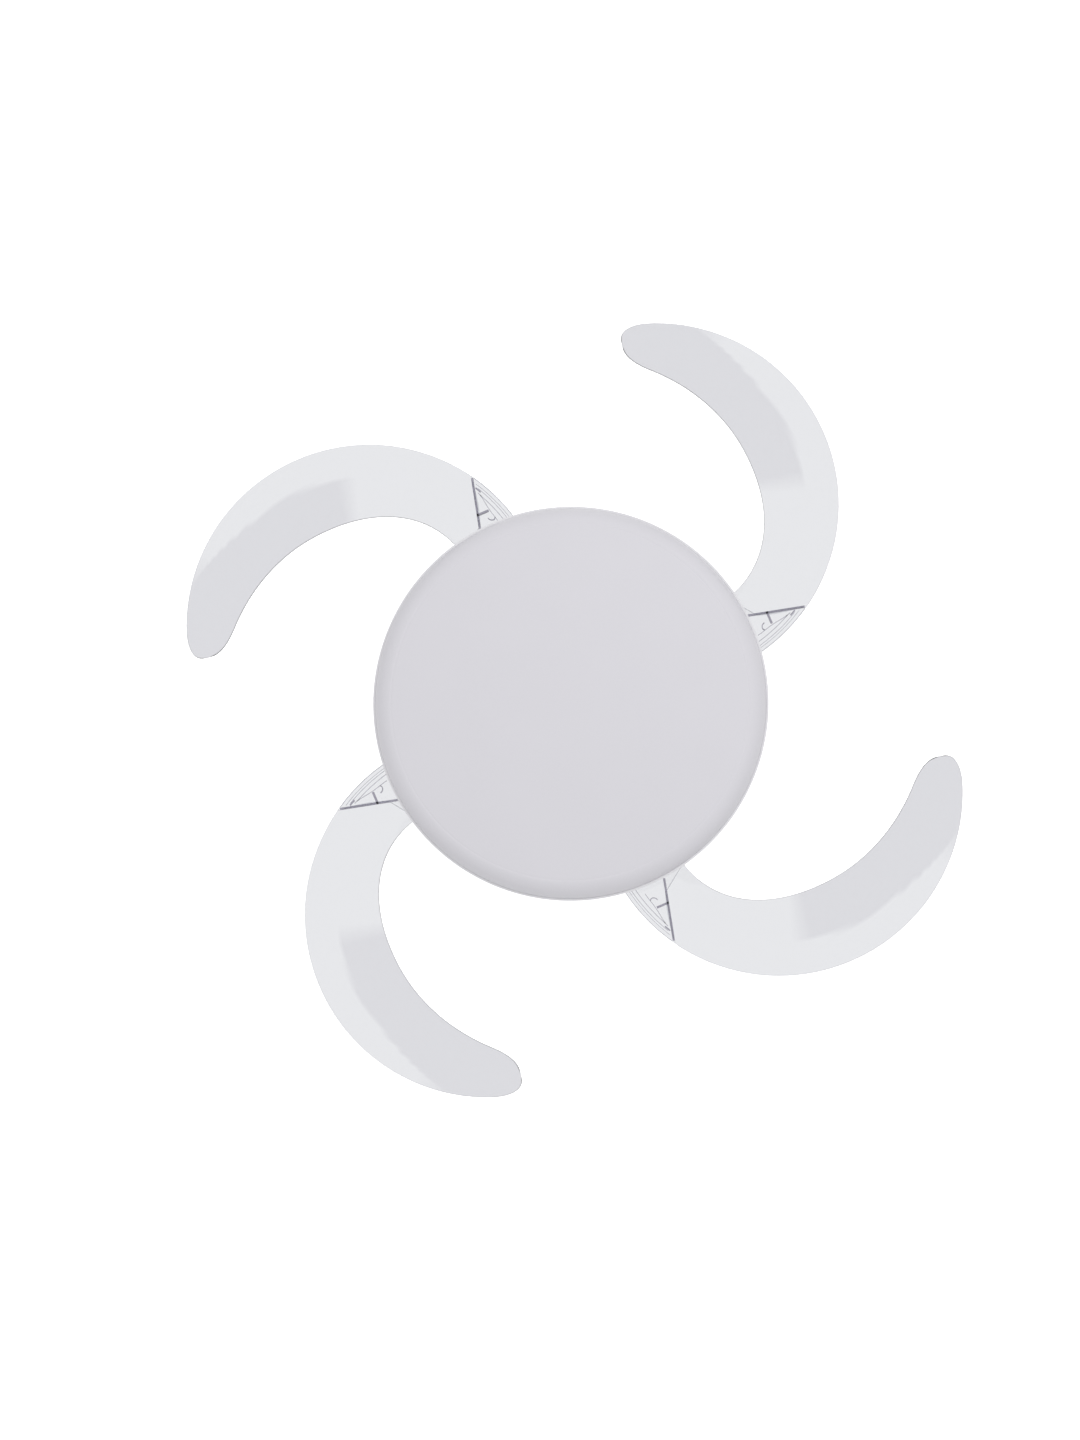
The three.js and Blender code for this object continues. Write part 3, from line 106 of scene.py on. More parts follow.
def colour(name, description, default):
    """A linear colour."""
    return FloatVectorProperty(
        name=name, description=description, default=default, size=3, min=0, max=1, subtype="COLOR"
    )


class LampSizes(bpy.types.PropertyGroup):
    """The lamp's frosted cover, its drum and the rim between them."""

    cover_radius: length("Cover radius", "Widest radius of the frosted cover", reach("diffuser") - 2.7 * MM)
    crease_radius: length("Crease radius", "Where the shoulder meets the dome", 0.230)
    shoulder_height: length("Shoulder height", "Height of the shoulder from rim to crease", 0.025)
    shoulder_fullness: FloatProperty(
        name="Shoulder fullness", description="1 is a cone, 2 an ellipse, more is squarer", default=1.7,
        min=1.2, max=5,
    )
    dome_rise: length("Dome rise", "How far the middle hangs below the crease", 0.009)
    cover_sheet: length("Cover wall", "Wall thickness of the frosted cover", 0.0025)
    groove_depth: length("Crease depth", "Depth of the fine groove at the crease", 0.0003)
    groove_width: length("Crease width", "Width of the fine groove at the crease", 0.0011)
    drum_corner: length("Drum corner", "Radius of the drum's pressed corner", 0.009)
    drum_sheet: length("Drum sheet", "Sheet thickness of the drum", 0.0016)


class BladeSizes(bpy.types.PropertyGroup):
    """A blade, drawn folded round the fan's own axis with its pivot on +X."""

    pivot_radius: length("Pivot radius", "From the fan's axis to a blade's pin", 0.200)
    first_pivot: turn("First pivot", "Direction of the first blade's pin", 65.9)
    fold: turn("Fold", "A blade's turn from folded to open", 93.3)
    outer_radius: length("Outer edge", "Radius of the outer edge while folded", 0.2392)
    inner_radius: length("Inner edge", "Mean radius of the inner edge while folded", 0.1435)
    inner_sway: length("Inner sway", "How far the inner edge wanders from its mean radius", 0.011)
    tip_taper: length("Tip taper", "How far the inner edge closes in towards the tip", 0.0185)
    thickness: length("Thickness", "Thickness of the wing along its middle", 0.0024)
    camber: length("Camber", "Rise of the wing's middle above its edges", 0.003)
    pitch: FloatProperty(name="Pitch", description="Rise of the wing per unit of radius", default=0.14)
    root_sheet: length("Root sheet", "Thickness of the hinge plate", 0.003)
    rib_height: length("Rib height", "How far the strong ribs stand below the plate", 0.005)
    rib_wall: length("Rib wall", "Width of the strong ribs", 0.0029)
    fine_rib_height: length("Fine rib height", "How far the fine ribs stand below the plate", 0.0016)


class CoverSizes(bpy.types.PropertyGroup):
    """The cover over the blade mechanism, and the canopy at the ceiling."""

    cover_mouth: length("Cover mouth", "Radius of the hole round the shaft", 0.034)
    cover_flat: length("Cover flat", "Radius of the flat middle", 0.112)
    cover_sheet: length("Cover wall", "Wall thickness", 0.0025)
    canopy_mouth: length("Canopy mouth", "Radius of the canopy's lower hole", 0.026)
    canopy_corner: length("Canopy corner", "Radius of the canopy's lower corner", 0.012)
    canopy_wall: length("Canopy wall", "Wall thickness", 0.0025)


class PivotSizes(bpy.types.PropertyGroup):
    """The pins that the blades turn on, and the springs that pull them in."""

    pin_radius: length("Pin radius", "Radius of a pivot pin", 0.005)
    wire: length("Wire", "Diameter of the spring wire", 0.0018)
    coil_pitch: length("Coil pitch", "Rise of the spring for each turn", 0.0026)
    coil_turns: FloatProperty(name="Turns", description="Turns of each spring", default=2.5)
    leg: length("Leg", "Length of each straight end of a spring", 0.012)


class FanColours(bpy.types.PropertyGroup):
    """Colours of the finishes."""

    opal: colour("Frosted cover", "Unlit frosted lamp cover", (0.690, 0.680, 0.722))
    clear: colour("Clear plastic", "Tint of the blades", (0.805, 0.812, 0.835))
    # The darker blade tint is painted shade: it darkens the ribs and the wing's body, and where it is left
    # out the lighter tint stands for painted reflections.
    clear_shaded: colour("Clear plastic, thick", "Tint where it is thickest", (0.330, 0.310, 0.380))
    white: colour("White plastic", "Canopy, cover and housings", (0.80, 0.80, 0.815))
    paint: colour("White paint", "Drum and rim", (0.79, 0.785, 0.81))


class StudioSettings(bpy.types.PropertyGroup):
    """The white studio."""

    sky: FloatProperty(name="Soft light", description="Even light from all sides", default=0.74, min=0)
    key: FloatProperty(name="Key lamp", description="Power of the lamp at the right", default=10, min=0)
    fill: FloatProperty(name="Fill lamp", description="Power of the lamp at the left", default=9, min=0)
    back: FloatProperty(name="Top lamp", description="Power of the lamp at the top", default=9, min=0)


class CeilingFan(bpy.types.PropertyGroup):
    """Everything that a user would change."""

    lamp: PointerProperty(type=LampSizes)
    blade: PointerProperty(type=BladeSizes)
    cover: PointerProperty(type=CoverSizes)
    pivot: PointerProperty(type=PivotSizes)
    colours: PointerProperty(type=FanColours)
    studio: PointerProperty(type=StudioSettings)
    segments: IntProperty(name="Segments", description="Steps round a large circle", default=192, min=24)


def settings():
    """The scene's fan settings."""
    return bpy.context.scene.ceiling_fan


# ---------------------------------------------------------------- surfaces


def grid_quads(rows, columns, wrap_rows=False, wrap_columns=False):
    """Faces of a grid of points: (i, j), (i + 1, j), (i + 1, j + 1), (i, j + 1), row by row."""
    i = np.arange(rows if wrap_rows else rows - 1)[:, None]
    j = np.arange(columns if wrap_columns else columns - 1)[None, :]
    i2, j2 = (i + 1) % rows, (j + 1) % columns
    corners = [i * columns + j, i2 * columns + j, i2 * columns + j2, i * columns + j2]
    return np.stack([c + 0 * (i + j) for c in corners], axis=-1).reshape(-1, 4)


class Surface:
    """Points, four-sided and three-sided faces, and one number for each point: how much painted shade it
    gets, 1 for the darkest.
    """

    def __init__(self, points, quads, tris=None, thick=0.0):
        self.points = np.asarray(points, float).reshape(-1, 3)
        self.quads = np.asarray(quads, int).reshape(-1, 4)
        self.tris = np.zeros((0, 3), int) if tris is None else np.asarray(tris, int).reshape(-1, 3)
        self.thick = np.broadcast_to(np.asarray(thick, float).ravel(), (len(self.points),)).copy()

    def volume(self):
        """Sum of the signed tetrahedra between the origin and each triangle: a.(b x c) / 6."""
        q, p = self.quads, self.points - self.points.mean(0)
        t = np.concatenate([q[:, [0, 1, 2]], q[:, [0, 2, 3]], self.tris])
        return np.einsum("ij,ij->i", p[t[:, 0]], np.cross(p[t[:, 1]], p[t[:, 2]])).sum() / 6

    def outward(self):
        """Turns all faces round where the closed surface has a negative volume."""
        if self.volume() < 0:
            self.quads, self.tris = self.quads[:, ::-1], self.tris[:, ::-1]
        return self

    def moved(self, matrix):
        """The surface with each point multiplied by a 4 x 4 matrix."""
        m = np.array(matrix, float)
        out = Surface(self.points @ m[:3, :3].T + m[:3, 3], self.quads, self.tris, self.thick)
        return out.outward()


def together(surfaces):
    """Several closed surfaces as one: the later ones' point numbers are shifted up."""
    starts = np.cumsum([0] + [len(s.points) for s in surfaces[:-1]])
    return Surface(
        np.concatenate([s.points for s in surfaces]),
        np.concatenate([s.quads + n for s, n in zip(surfaces, starts)]),
        np.concatenate([s.tris + n for s, n in zip(surfaces, starts)]),
        np.concatenate([s.thick for s in surfaces]),
    )


def rounded(corners, steps=6):
    """A closed outline of corners (x, y, size). A corner of size s becomes an arc of radius s that
    touches both of its sides: its ends lie s / tan(half the corner's angle) along the sides."""
    corners = np.array(corners, float)
    points, sizes = corners[:, :2], corners[:, 2]
    back, ahead = np.roll(points, 1, 0) - points, np.roll(points, -1, 0) - points
    back_long = np.linalg.norm(back, axis=1, keepdims=True)
    ahead_long = np.linalg.norm(ahead, axis=1, keepdims=True)
    back, ahead = back / back_long, ahead / ahead_long
    half = np.arccos(np.clip((back * ahead).sum(1, keepdims=True), -1, 1)) / 2
    limit = 0.49 * np.minimum(back_long, ahead_long)
    along = np.minimum(sizes[:, None] / np.tan(half), limit)
    radius = along * np.tan(half)
    middle = back + ahead
    middle = middle / np.maximum(np.linalg.norm(middle, axis=1, keepdims=True), 1e-9)
    centre = points + middle * radius / np.sin(half)
    sweep = np.maximum(np.pi - 2 * half, 1e-6)
    t = np.linspace(0, 1, steps + 1)[None, :, None]
    start, end = (points + back * along - centre)[:, None], (points + ahead * along - centre)[:, None]
    sweep, centre = sweep[:, None], centre[:, None]
    arcs = centre + (np.sin((1 - t) * sweep) * start + np.sin(t * sweep) * end) / np.sin(sweep)
    keep = [arc if size > 0 else point[None] for arc, size, point in zip(arcs, sizes, points)]
    return np.concatenate(keep)


def turned(outline, segments):
    """A solid of revolution: outline point (r, z) at angle a is (r cos a, r sin a, z). An outline
    that starts and ends on the axis gets one point at each pole, and any other one closes on itself."""
    outline = np.asarray(outline, float)
    angle = np.linspace(0, 2 * np.pi, segments, endpoint=False)[:, None]
    on_axis = outline[0, 0] == 0 and outline[-1, 0] == 0
    r, z = (outline[1:-1] if on_axis else outline).T
    points = np.stack([r * np.cos(angle), r * np.sin(angle), z + 0 * angle], axis=-1).reshape(-1, 3)
    quads = grid_quads(segments, len(r), wrap_rows=True, wrap_columns=not on_axis)
    if not on_axis:
        return Surface(points, quads).outward()
    i = np.arange(segments)
    ahead = (i + 1) % segments
    pole = len(points)
    last = len(r) - 1
    start = np.stack([i * len(r), np.full(segments, pole), ahead * len(r)], 1)
    end = np.stack([ahead * len(r) + last, np.full(segments, pole + 1), i * len(r) + last], 1)
    points = np.concatenate([points, [[0, 0, outline[0, 1]], [0, 0, outline[-1, 1]]]])
    return Surface(points, quads, np.concatenate([start, end])).outward()


def carried(path, section, across, up):
    """A profile carried along a path: point (u, v) of the closed section at path point p is
    p + u across + v up. Each end is closed by a fan round the mean of its points."""
    path, section = np.asarray(path, float), np.asarray(section, float)
    across, up = np.broadcast_to(across, path.shape), np.broadcast_to(up, path.shape)
    rings = path[:, None] + section[None, :, :1] * across[:, None] + section[None, :, 1:] * up[:, None]
    rows, columns = rings.shape[:2]
    points = rings.reshape(-1, 3)
    j = np.arange(columns)
    ahead, base = (j + 1) % columns, (rows - 1) * columns
    pole = len(points)
    start = np.stack([j, np.full(columns, pole), ahead], 1)
    end = np.stack([base + ahead, np.full(columns, pole + 1), base + j], 1)
    points = np.concatenate([points, rings[:1].mean(1), rings[-1:].mean(1)])
    quads = grid_quads(rows, columns, wrap_columns=True)
    return Surface(points, quads, np.concatenate([start, end])).outward()


def circle(radius, sides):
    """Points (r cos a, r sin a) of a round section."""
    a = np.linspace(0, 2 * np.pi, sides, endpoint=False)
    return np.stack([radius * np.cos(a), radius * np.sin(a)], 1)


def turned_about(angle, x=0.0, y=0.0):
    """A 4 x 4 matrix: move by (x, y), then turn about the fan's axis."""
    return Matrix.Rotation(angle, 4, "Z") @ Matrix.Translation((x, y, 0))


def piece(name, surface, finish, body, node, sharp=40):
    """Makes the mesh object, gives it its finish, and lets it ride on a body in a solid's place."""
    mesh = bpy.data.meshes.new(name)
    mesh.from_pydata(surface.points, [], surface.quads.tolist() + surface.tris.tolist())
    mesh.update()
    # The point values go to an attribute that the clear plastic reads as painted shade and painted
    # reflection.
    mesh.attributes.new("thick", "FLOAT", "POINT").data.foreach_set("value", surface.thick)
    mesh.shade_smooth()
    if sharp:
        mesh.set_sharp_from_angle(angle=np.radians(sharp))
    mesh.materials.append(finish)
    thing = bpy.data.objects.new(name, mesh)
    bpy.context.scene.collection.objects.link(thing)
    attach(thing, body)
    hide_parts(node)
    return thing


# ---------------------------------------------------------------- shapes of this fan


def lamp_cover_surface(s, top, lip_radius, lip_top, segments):
    """The dome hangs as z = bottom + rise (r / crease)^2. The shoulder is a squared ellipse from the
    crease, r = crease + w sin(t)^(2/n), z = top - h cos(t)^(2/n), and a bell-shaped groove of the
    crease's depth and width is pressed in between them. The wall is the same curve moved inwards."""
    crease, rise, sheet = s.crease_radius, s.dome_rise, s.cover_sheet
    crease_z = top - s.shoulder_height
    power = 2 / s.shoulder_fullness

    def groove(r):
        return s.groove_depth * np.exp(-(((r - crease) / s.groove_width) ** 2))

    def dome(lift):
        near = crease - 8 * s.groove_width
        r = np.concatenate([np.linspace(0, near, 40), np.linspace(near, crease, 18)[1:]])
        return np.stack([r, crease_z - rise + rise * (r / crease) ** 2 + lift + groove(r)], 1)

    def shoulder(widest, lift):
        t = np.linspace(0, np.pi / 2, 44)[1:]
        r = crease + (widest - crease) * np.sin(t) ** power
        z = top - s.shoulder_height * np.cos(t) ** power
        return np.stack([r, z + lift * np.cos(t) ** 0.5 + groove(r)], 1)

    widest = s.cover_radius
    outside = np.concatenate([dome(0), shoulder(widest, 0)])
    lip = np.array([
        [widest, top + 0.2 * MM], [lip_radius, top + 0.5 * MM],
        [lip_radius, lip_top - 0.5 * MM], [lip_radius - 0.5 * MM, lip_top],
        [lip_radius - sheet + 0.5 * MM, lip_top], [lip_radius - sheet, lip_top - 0.5 * MM],
    ])
    inner_shoulder = shoulder(lip_radius - sheet, sheet)[:-1][::-1]
    inside = np.concatenate([inner_shoulder, dome(sheet)[::-1]])
    outline = np.concatenate([outside, lip, inside])
    outline[0, 0] = outline[-1, 0] = 0
    return turned(outline, segments)


def drum_surface(s, radius, bore, top, bottom, segments):
    """A pressed drum: an outline with an arc at its corner and a small rolled edge below."""
    sheet = s.drum_sheet
    return turned(rounded([
        (bore, top, 0.3 * MM), (radius, top, s.drum_corner), (radius, bottom, 0.6 * MM),
        (radius - sheet, bottom, 0.6 * MM), (radius - sheet, top - sheet, s.drum_corner - sheet),
        (bore, top - sheet, 0.3 * MM),
    ], steps=10), segments)


def ring_surface(outer, inner, top, bottom, edge, segments):
    """A ring of rectangular section with rounded corners."""
    corners = [(outer, top, edge), (outer, bottom, edge), (inner, bottom, edge), (inner, top, edge)]
    return turned(rounded(corners), segments)


def fan_cover_surface(c, radius, top, rim, segments):
    """A flat middle, a gentle slope and a rounded edge into an upright skirt. The inside is the same
    outline, moved in by the wall."""
    t = c.cover_sheet
    outer = [
        (c.cover_mouth, top, 0.8 * MM), (c.cover_flat, top, 30 * MM),
        (radius - 26 * MM, top - 4 * MM, 40 * MM), (radius - 5 * MM, top - 5.2 * MM, 6 * MM),
        (radius, top - 16 * MM, 9 * MM), (radius, rim, 0.9 * MM),
    ]
    inner = [
        (radius - t, rim, 0.9 * MM), (radius - t, top - 16 * MM, 8 * MM),
        (radius - 6 * MM, top - 5.2 * MM - t, 4 * MM), (radius - 26 * MM, top - 4 * MM - t, 40 * MM),
        (c.cover_flat, top - t, 30 * MM), (c.cover_mouth, top - t, 0.8 * MM),
    ]
    return turned(rounded(outer + inner, steps=8), segments)


def canopy_surface(c, radius, top, bottom, segments):
    """An upright cup with a rounded lower corner and a hole for the shaft."""
    w = c.canopy_wall
    return turned(rounded([
        (c.canopy_mouth, bottom, 1 * MM), (radius, bottom, c.canopy_corner), (radius, top, 0.8 * MM),
        (radius - w, top, 0.8 * MM), (radius - w, bottom + w, c.canopy_corner - w),
        (c.canopy_mouth, bottom + w, 1 * MM),
    ], steps=10), segments)


def nut_surface(flats, bore, top, bottom):
    """A hexagon nut. At angle a a side lies at h / cos(a mod 60 - 30 degrees), h being half the
    width across flats, and the corners are turned down by 30 degrees outside the radius h."""
    angle = np.linspace(0, 2 * np.pi, 96, endpoint=False)
    side = flats / np.cos(np.mod(angle, np.pi / 3) - np.pi / 6)
    fall = (side - flats) * np.tan(np.pi / 6)
    radii = np.stack([
        0 * side + bore, 0 * side + bore + 0.6 * MM, 0 * side + 0.97 * flats, side, side,
        0 * side + 0.97 * flats, 0 * side + bore + 0.6 * MM, 0 * side + bore,
    ], 1)
    heights = np.stack([
        0 * fall + top - 0.6 * MM, 0 * fall + top, 0 * fall + top, top - fall - 0.2 * MM,
        bottom + fall + 0.2 * MM, 0 * fall + bottom, 0 * fall + bottom, 0 * fall + bottom + 0.6 * MM,
    ], 1)
    x, y = radii * np.cos(angle)[:, None], radii * np.sin(angle)[:, None]
    points = np.stack([x, y, heights], -1)
    return Surface(points, grid_quads(96, 8, True, True)).outward()


def shaft_surface(radius, bore, top, bottom, threads, pitch=1.5 * MM, depth=0.4 * MM):
    """A tube whose outline falls to a thread root and back once each pitch on the threaded lengths."""
    parts = [np.array([[radius - 0.6 * MM, top], [radius, top - 0.6 * MM]])]
    for high_end, low_end in threads:
        z = np.arange(high_end, low_end, -pitch / 4)
        wave = np.abs(np.mod((high_end - z) / pitch, 1) * 2 - 1)
        parts.append(np.stack([radius - depth * (1 - wave), z], 1))
    parts.append(np.array([
        [radius, bottom + 0.6 * MM], [radius - 0.6 * MM, bottom], [bore, bottom], [bore, top],
    ]))
    return turned(np.concatenate(parts), 64)


def pin_surface(radius, head_top, collar_bottom, top):
    """A pin with a domed head below and a riveted collar above."""
    head, t = PIN_HEAD_RADIUS, np.linspace(0, np.pi / 2, 8)
    crown = np.stack([head * np.sin(t), head_top - PIN_HEAD_HEIGHT * (0.35 + 0.65 * np.cos(t))], 1)
    collar_top = collar_bottom + COLLAR_HEIGHT
    collar = rounded([
        (radius, collar_bottom, 0), (COLLAR_RADIUS, collar_bottom, 0.5 * MM),
        (COLLAR_RADIUS, collar_top, 1.2 * MM), (radius, collar_top, 0),
    ], steps=4)
    end = [[radius, top - 0.8 * MM], [radius - 0.8 * MM, top], [0, top]]
    rim = [[head, head_top - 0.3 * MM], [head - 0.3 * MM, head_top], [radius, head_top]]
    return turned(np.concatenate([crown, rim, collar, end]), 40)


def spring_surface(p, bottom):
    """Wire along a helix with a straight leg at each end. At distance d along the wire the angle is
    d / R on the coil, and past its ends the wire runs on along the tangent."""
    radius = p.pin_radius + 0.6 * MM + p.wire
    coil = p.coil_turns * 2 * np.pi * radius
    d = np.linspace(-p.leg, coil + p.leg, 150)
    on_coil = np.clip(d, 0, coil)
    angle, leg = on_coil / radius, d - on_coil
    path = np.stack([
        radius * np.cos(angle) - leg * np.sin(angle), radius * np.sin(angle) + leg * np.cos(angle),
        bottom + p.coil_pitch * angle / (2 * np.pi),
    ], 1)
    out = np.stack([np.cos(angle), np.sin(angle), 0 * angle], 1)
    return carried(path, circle(p.wire / 2, 10), out, np.array([0, 0, 1.0]))


def shell_surface(corners, segments):
    """A die-cast shell: corners (r, z, size of the rounding) in millimetres, turned."""
    return turned(rounded(np.array(corners) * MM, steps=5), segments)


# ---------------------------------------------------------------- the blade


# Degrees of arc from the pivot to the hinge plate's corners, and to the tip; the corners' radii.
ROOT_CORNER, ROOT_MIDDLE, ROOT_APEX = 16.0, 20.6, 35.0
ROOT_CORNER_RADIUS, ROOT_MIDDLE_RADIUS = 154.6 * MM, 193.4 * MM
BLADE_END, TIP_START = 171.4, 160.0


def arc_point(radius, arc):
    """A point of the folded blade: arc degrees back from the pivot's direction."""
    a = np.radians(arc)
    return np.stack([radius * np.cos(a), -radius * np.sin(a)], -1)


def inner_edge(b, arc):
    """Radius of the inner edge: a cosine sway round its mean, and a cubic closing at the tip."""
    sway = np.cos(2 * np.pi * (arc - 20) / 150)
    taper = np.maximum(0, (arc - 112) / 48)
    return b.inner_radius + b.inner_sway * sway + b.tip_taper * taper**3


def wing_start(across):
    """Arc where the wing leaves the hinge plate: across is -1 at the inner edge, 1 at the outer."""
    inner = ROOT_MIDDLE + (ROOT_CORNER - ROOT_MIDDLE) * -across
    outer = ROOT_MIDDLE + (ROOT_APEX - ROOT_MIDDLE) * across
    return np.where(across < 0, inner, outer)


def wing_height(b, radius, arc, across):
    """Height above the hinge plate: past the root a smooth step blends in the pitch, the camber's
    arch 1 - across^2, and the fall that lets four folded blades nest in a helix."""
    x = np.clip((arc - wing_start(across)) / 25, 0, 1)
    middle = (b.outer_radius + b.inner_radius) / 2
    fall = 0.004 + 0.013 * (arc - ROOT_CORNER) / 90
    return x * x * (3 - 2 * x) * (b.pitch * (radius - middle) + b.camber * (1 - across**2) - fall)


def wing_surface(b, level, rows=170, columns=56):
    """Closed sections, across = -cos(v), from the hinge plate to the tip. The section's half
    thickness is t (1 - 0.4 across^4) sqrt(1 - across^26) / 2, and the tip's half width shrinks as
    the cube root of 1 - s^3, with s running from 0 to 1 over the last degrees of arc."""
    u = np.linspace(0, 1, rows)[:, None]
    turn_round = np.linspace(0, 2 * np.pi, columns, endpoint=False)[None, :]
    across = -np.cos(turn_round)
    side = np.sin(turn_round) / np.maximum(np.abs(np.sin(turn_round)), 1e-9)
    start = wing_start(across) + 0.08
    body = np.clip(u / 0.84, 0, 1)
    tip = np.clip((u - 0.84) / 0.16, 0, 1)
    narrowing = np.cos(tip * np.pi / 2)
    s = np.cbrt(1 - narrowing**3)
    arc = start + (TIP_START - start) * body + (BLADE_END - TIP_START) * s
    inner = inner_edge(b, arc)
    half = (b.outer_radius - inner) / 2 * narrowing
    radius = (b.outer_radius + inner) / 2 + half * across
    edge = np.sqrt(np.maximum(1 - np.abs(across) ** 26, 0))
    thickness = b.thickness * (1 - 0.4 * across**4) * edge * np.sqrt(np.maximum(1 - s**8, 0))
    place = arc_point(radius, arc)
    z = level + wing_height(b, radius, arc, across) + side * thickness / 2
    points = np.concatenate([place, z[..., None]], -1)
    # Painted light and shade: the lighter root third and the lighter band along the outer edge, from the
    # middle to the tip, are painted reflections; the rest of the wing gets a darker painted shade.
    past_root = np.clip((arc - 74) / 8, 0, 1)
    # fold is the place across the wing where that painted reflection band begins; the wing has no fold
    # there.
    fold = 0.2 + 0.1 * (arc - 80) / 30 + 0.55 * np.clip((arc - 112) / 34, 0, 1) ** 2
    inward_of_sheen_band = np.clip((fold - across) / 0.05, 0, 1)
    before_tip = np.clip((150 - arc) / 14, 0, 1)
    thick = 0.03 + 0.19 * past_root * (1 - before_tip * (1 - inward_of_sheen_band))
    grid, tip_point = points[:-1].reshape(-1, 3), points[-1].mean(0, keepdims=True)
    rows -= 1
    j = np.arange(columns)
    last = (rows - 1) * columns
    fan = np.stack([last + (j + 1) % columns, np.full(columns, rows * columns), last + j], 1)
    k = np.arange(columns // 2)
    wall = np.stack([k, k + 1, (columns - k - 1) % columns, (columns - k) % columns], 1)
    wall_tris = np.stack([wall[0, [0, 1, 2]], wall[-1, [0, 1, 2]]])
    quads = np.concatenate([grid_quads(rows, columns, wrap_columns=True), wall[1:-1]])
    values = np.append(thick[:-1].ravel(), 0)
    points, tris = np.concatenate([grid, tip_point]), np.concatenate([fan, wall_tris])
    return Surface(points, quads, tris, values).outward()


def hinge_plate_surface(b, top, bottom, bore, spokes=360):
    """A flat plate round the pivot: in the direction a its edge is as far as the outline or the
    round boss reaches, whichever is further, and its section is a loop from the bore to that edge."""
    pivot = np.array([b.pivot_radius, 0])
    arc = np.linspace(ROOT_APEX, 5, 40)
    corner = arc_point(np.array([ROOT_CORNER_RADIUS]), np.array([ROOT_CORNER]))
    middle = arc_point(np.array([ROOT_MIDDLE_RADIUS]), np.array([ROOT_MIDDLE]))
    outer = arc_point(b.outer_radius, arc)
    shoulder_a, shoulder_b = np.array([[0.222, 0.006]]), np.array([[0.178, 0.006]])
    corners = np.concatenate([shoulder_a, shoulder_b, corner, middle, outer, shoulder_a]) - pivot
    share_along = np.linspace(0, 1, 30, endpoint=False)[None, :, None]
    sides = corners[:-1, None] + share_along * (corners[1:] - corners[:-1])[:, None]
    sides = sides.reshape(-1, 2)
    angles, distances = np.arctan2(sides[:, 1], sides[:, 0]), np.hypot(*sides.T)
    order = np.argsort(angles)
    a = np.linspace(-np.pi, np.pi, spokes, endpoint=False)
    corner_angles = np.arctan2(corners[:-1, 1], corners[:-1, 0])
    a = np.sort(np.concatenate([a, corner_angles]))
    edge = np.maximum(np.interp(a, angles[order], distances[order], period=2 * np.pi), BOSS_RADIUS)
    r = 0.5 * MM
    share_out = np.array([0, 0, 0.3, 0.65, 1, 1, 1, 1, 0.65, 0.3, 0, 0])
    shift = np.array([0, r, 0, 0, -r, 0, 0, -r, 0, 0, r, 0])
    height = np.repeat([top - r, top, top - r, bottom + r, bottom, bottom + r], [1, 4, 1, 1, 4, 1])
    distance = bore + share_out * (edge[:, None] - bore) + shift
    x = pivot[0] + distance * np.cos(a)[:, None]
    y = distance * np.sin(a)[:, None]
    points = np.stack([x, y, height + 0 * x], -1)
    # The hinge plate gets almost no painted shade.
    return Surface(points, grid_quads(len(a), 12, True, True), thick=0.02).outward()


def rib_surface(path, width, top, bottom, thick=1.0):
    """A wall with rounded lower edges along a path in the plate's plane."""
    path = np.asarray(path, float)
    ahead = np.gradient(path, axis=0)
    ahead /= np.linalg.norm(ahead, axis=1, keepdims=True)
    across = np.stack([-ahead[:, 1], ahead[:, 0], 0 * ahead[:, 0]], 1)
    edge = min(0.3 * width, 0.5 * MM)
    w = width / 2
    section = [
        [-w, top], [-w, bottom + edge], [-w + edge * 0.3, bottom + edge * 0.3], [-w + edge, bottom],
        [w - edge, bottom], [w - edge * 0.3, bottom + edge * 0.3], [w, bottom + edge], [w, top],
    ]
    ends = np.concatenate([path, np.zeros((len(path), 1))], 1)
    surface = carried(ends, section, across, np.array([0, 0, 1.0]))
    # Each rib's painted shade darkens its tint; it stands for the dark look that refraction gives a rib.
    surface.thick[:] = thick
    return surface


def line(start, end, steps=8):
    """Evenly spaced points from start to end."""
    t = np.linspace(0, 1, steps)[:, None]
    return np.array(start) * (1 - t) + np.array(end) * t


def smooth_path(points, steps=24):
    """A curve through a few points: each coordinate is a polynomial in the distance along them."""
    points = np.asarray(points, float)
    d = np.concatenate([[0], np.cumsum(np.linalg.norm(np.diff(points, axis=0), axis=1))])
    t = np.linspace(0, d[-1], steps)
    degree = len(points) - 1
    return np.stack([np.polyval(np.polyfit(d, points[:, i], degree), t) for i in (0, 1)], 1)


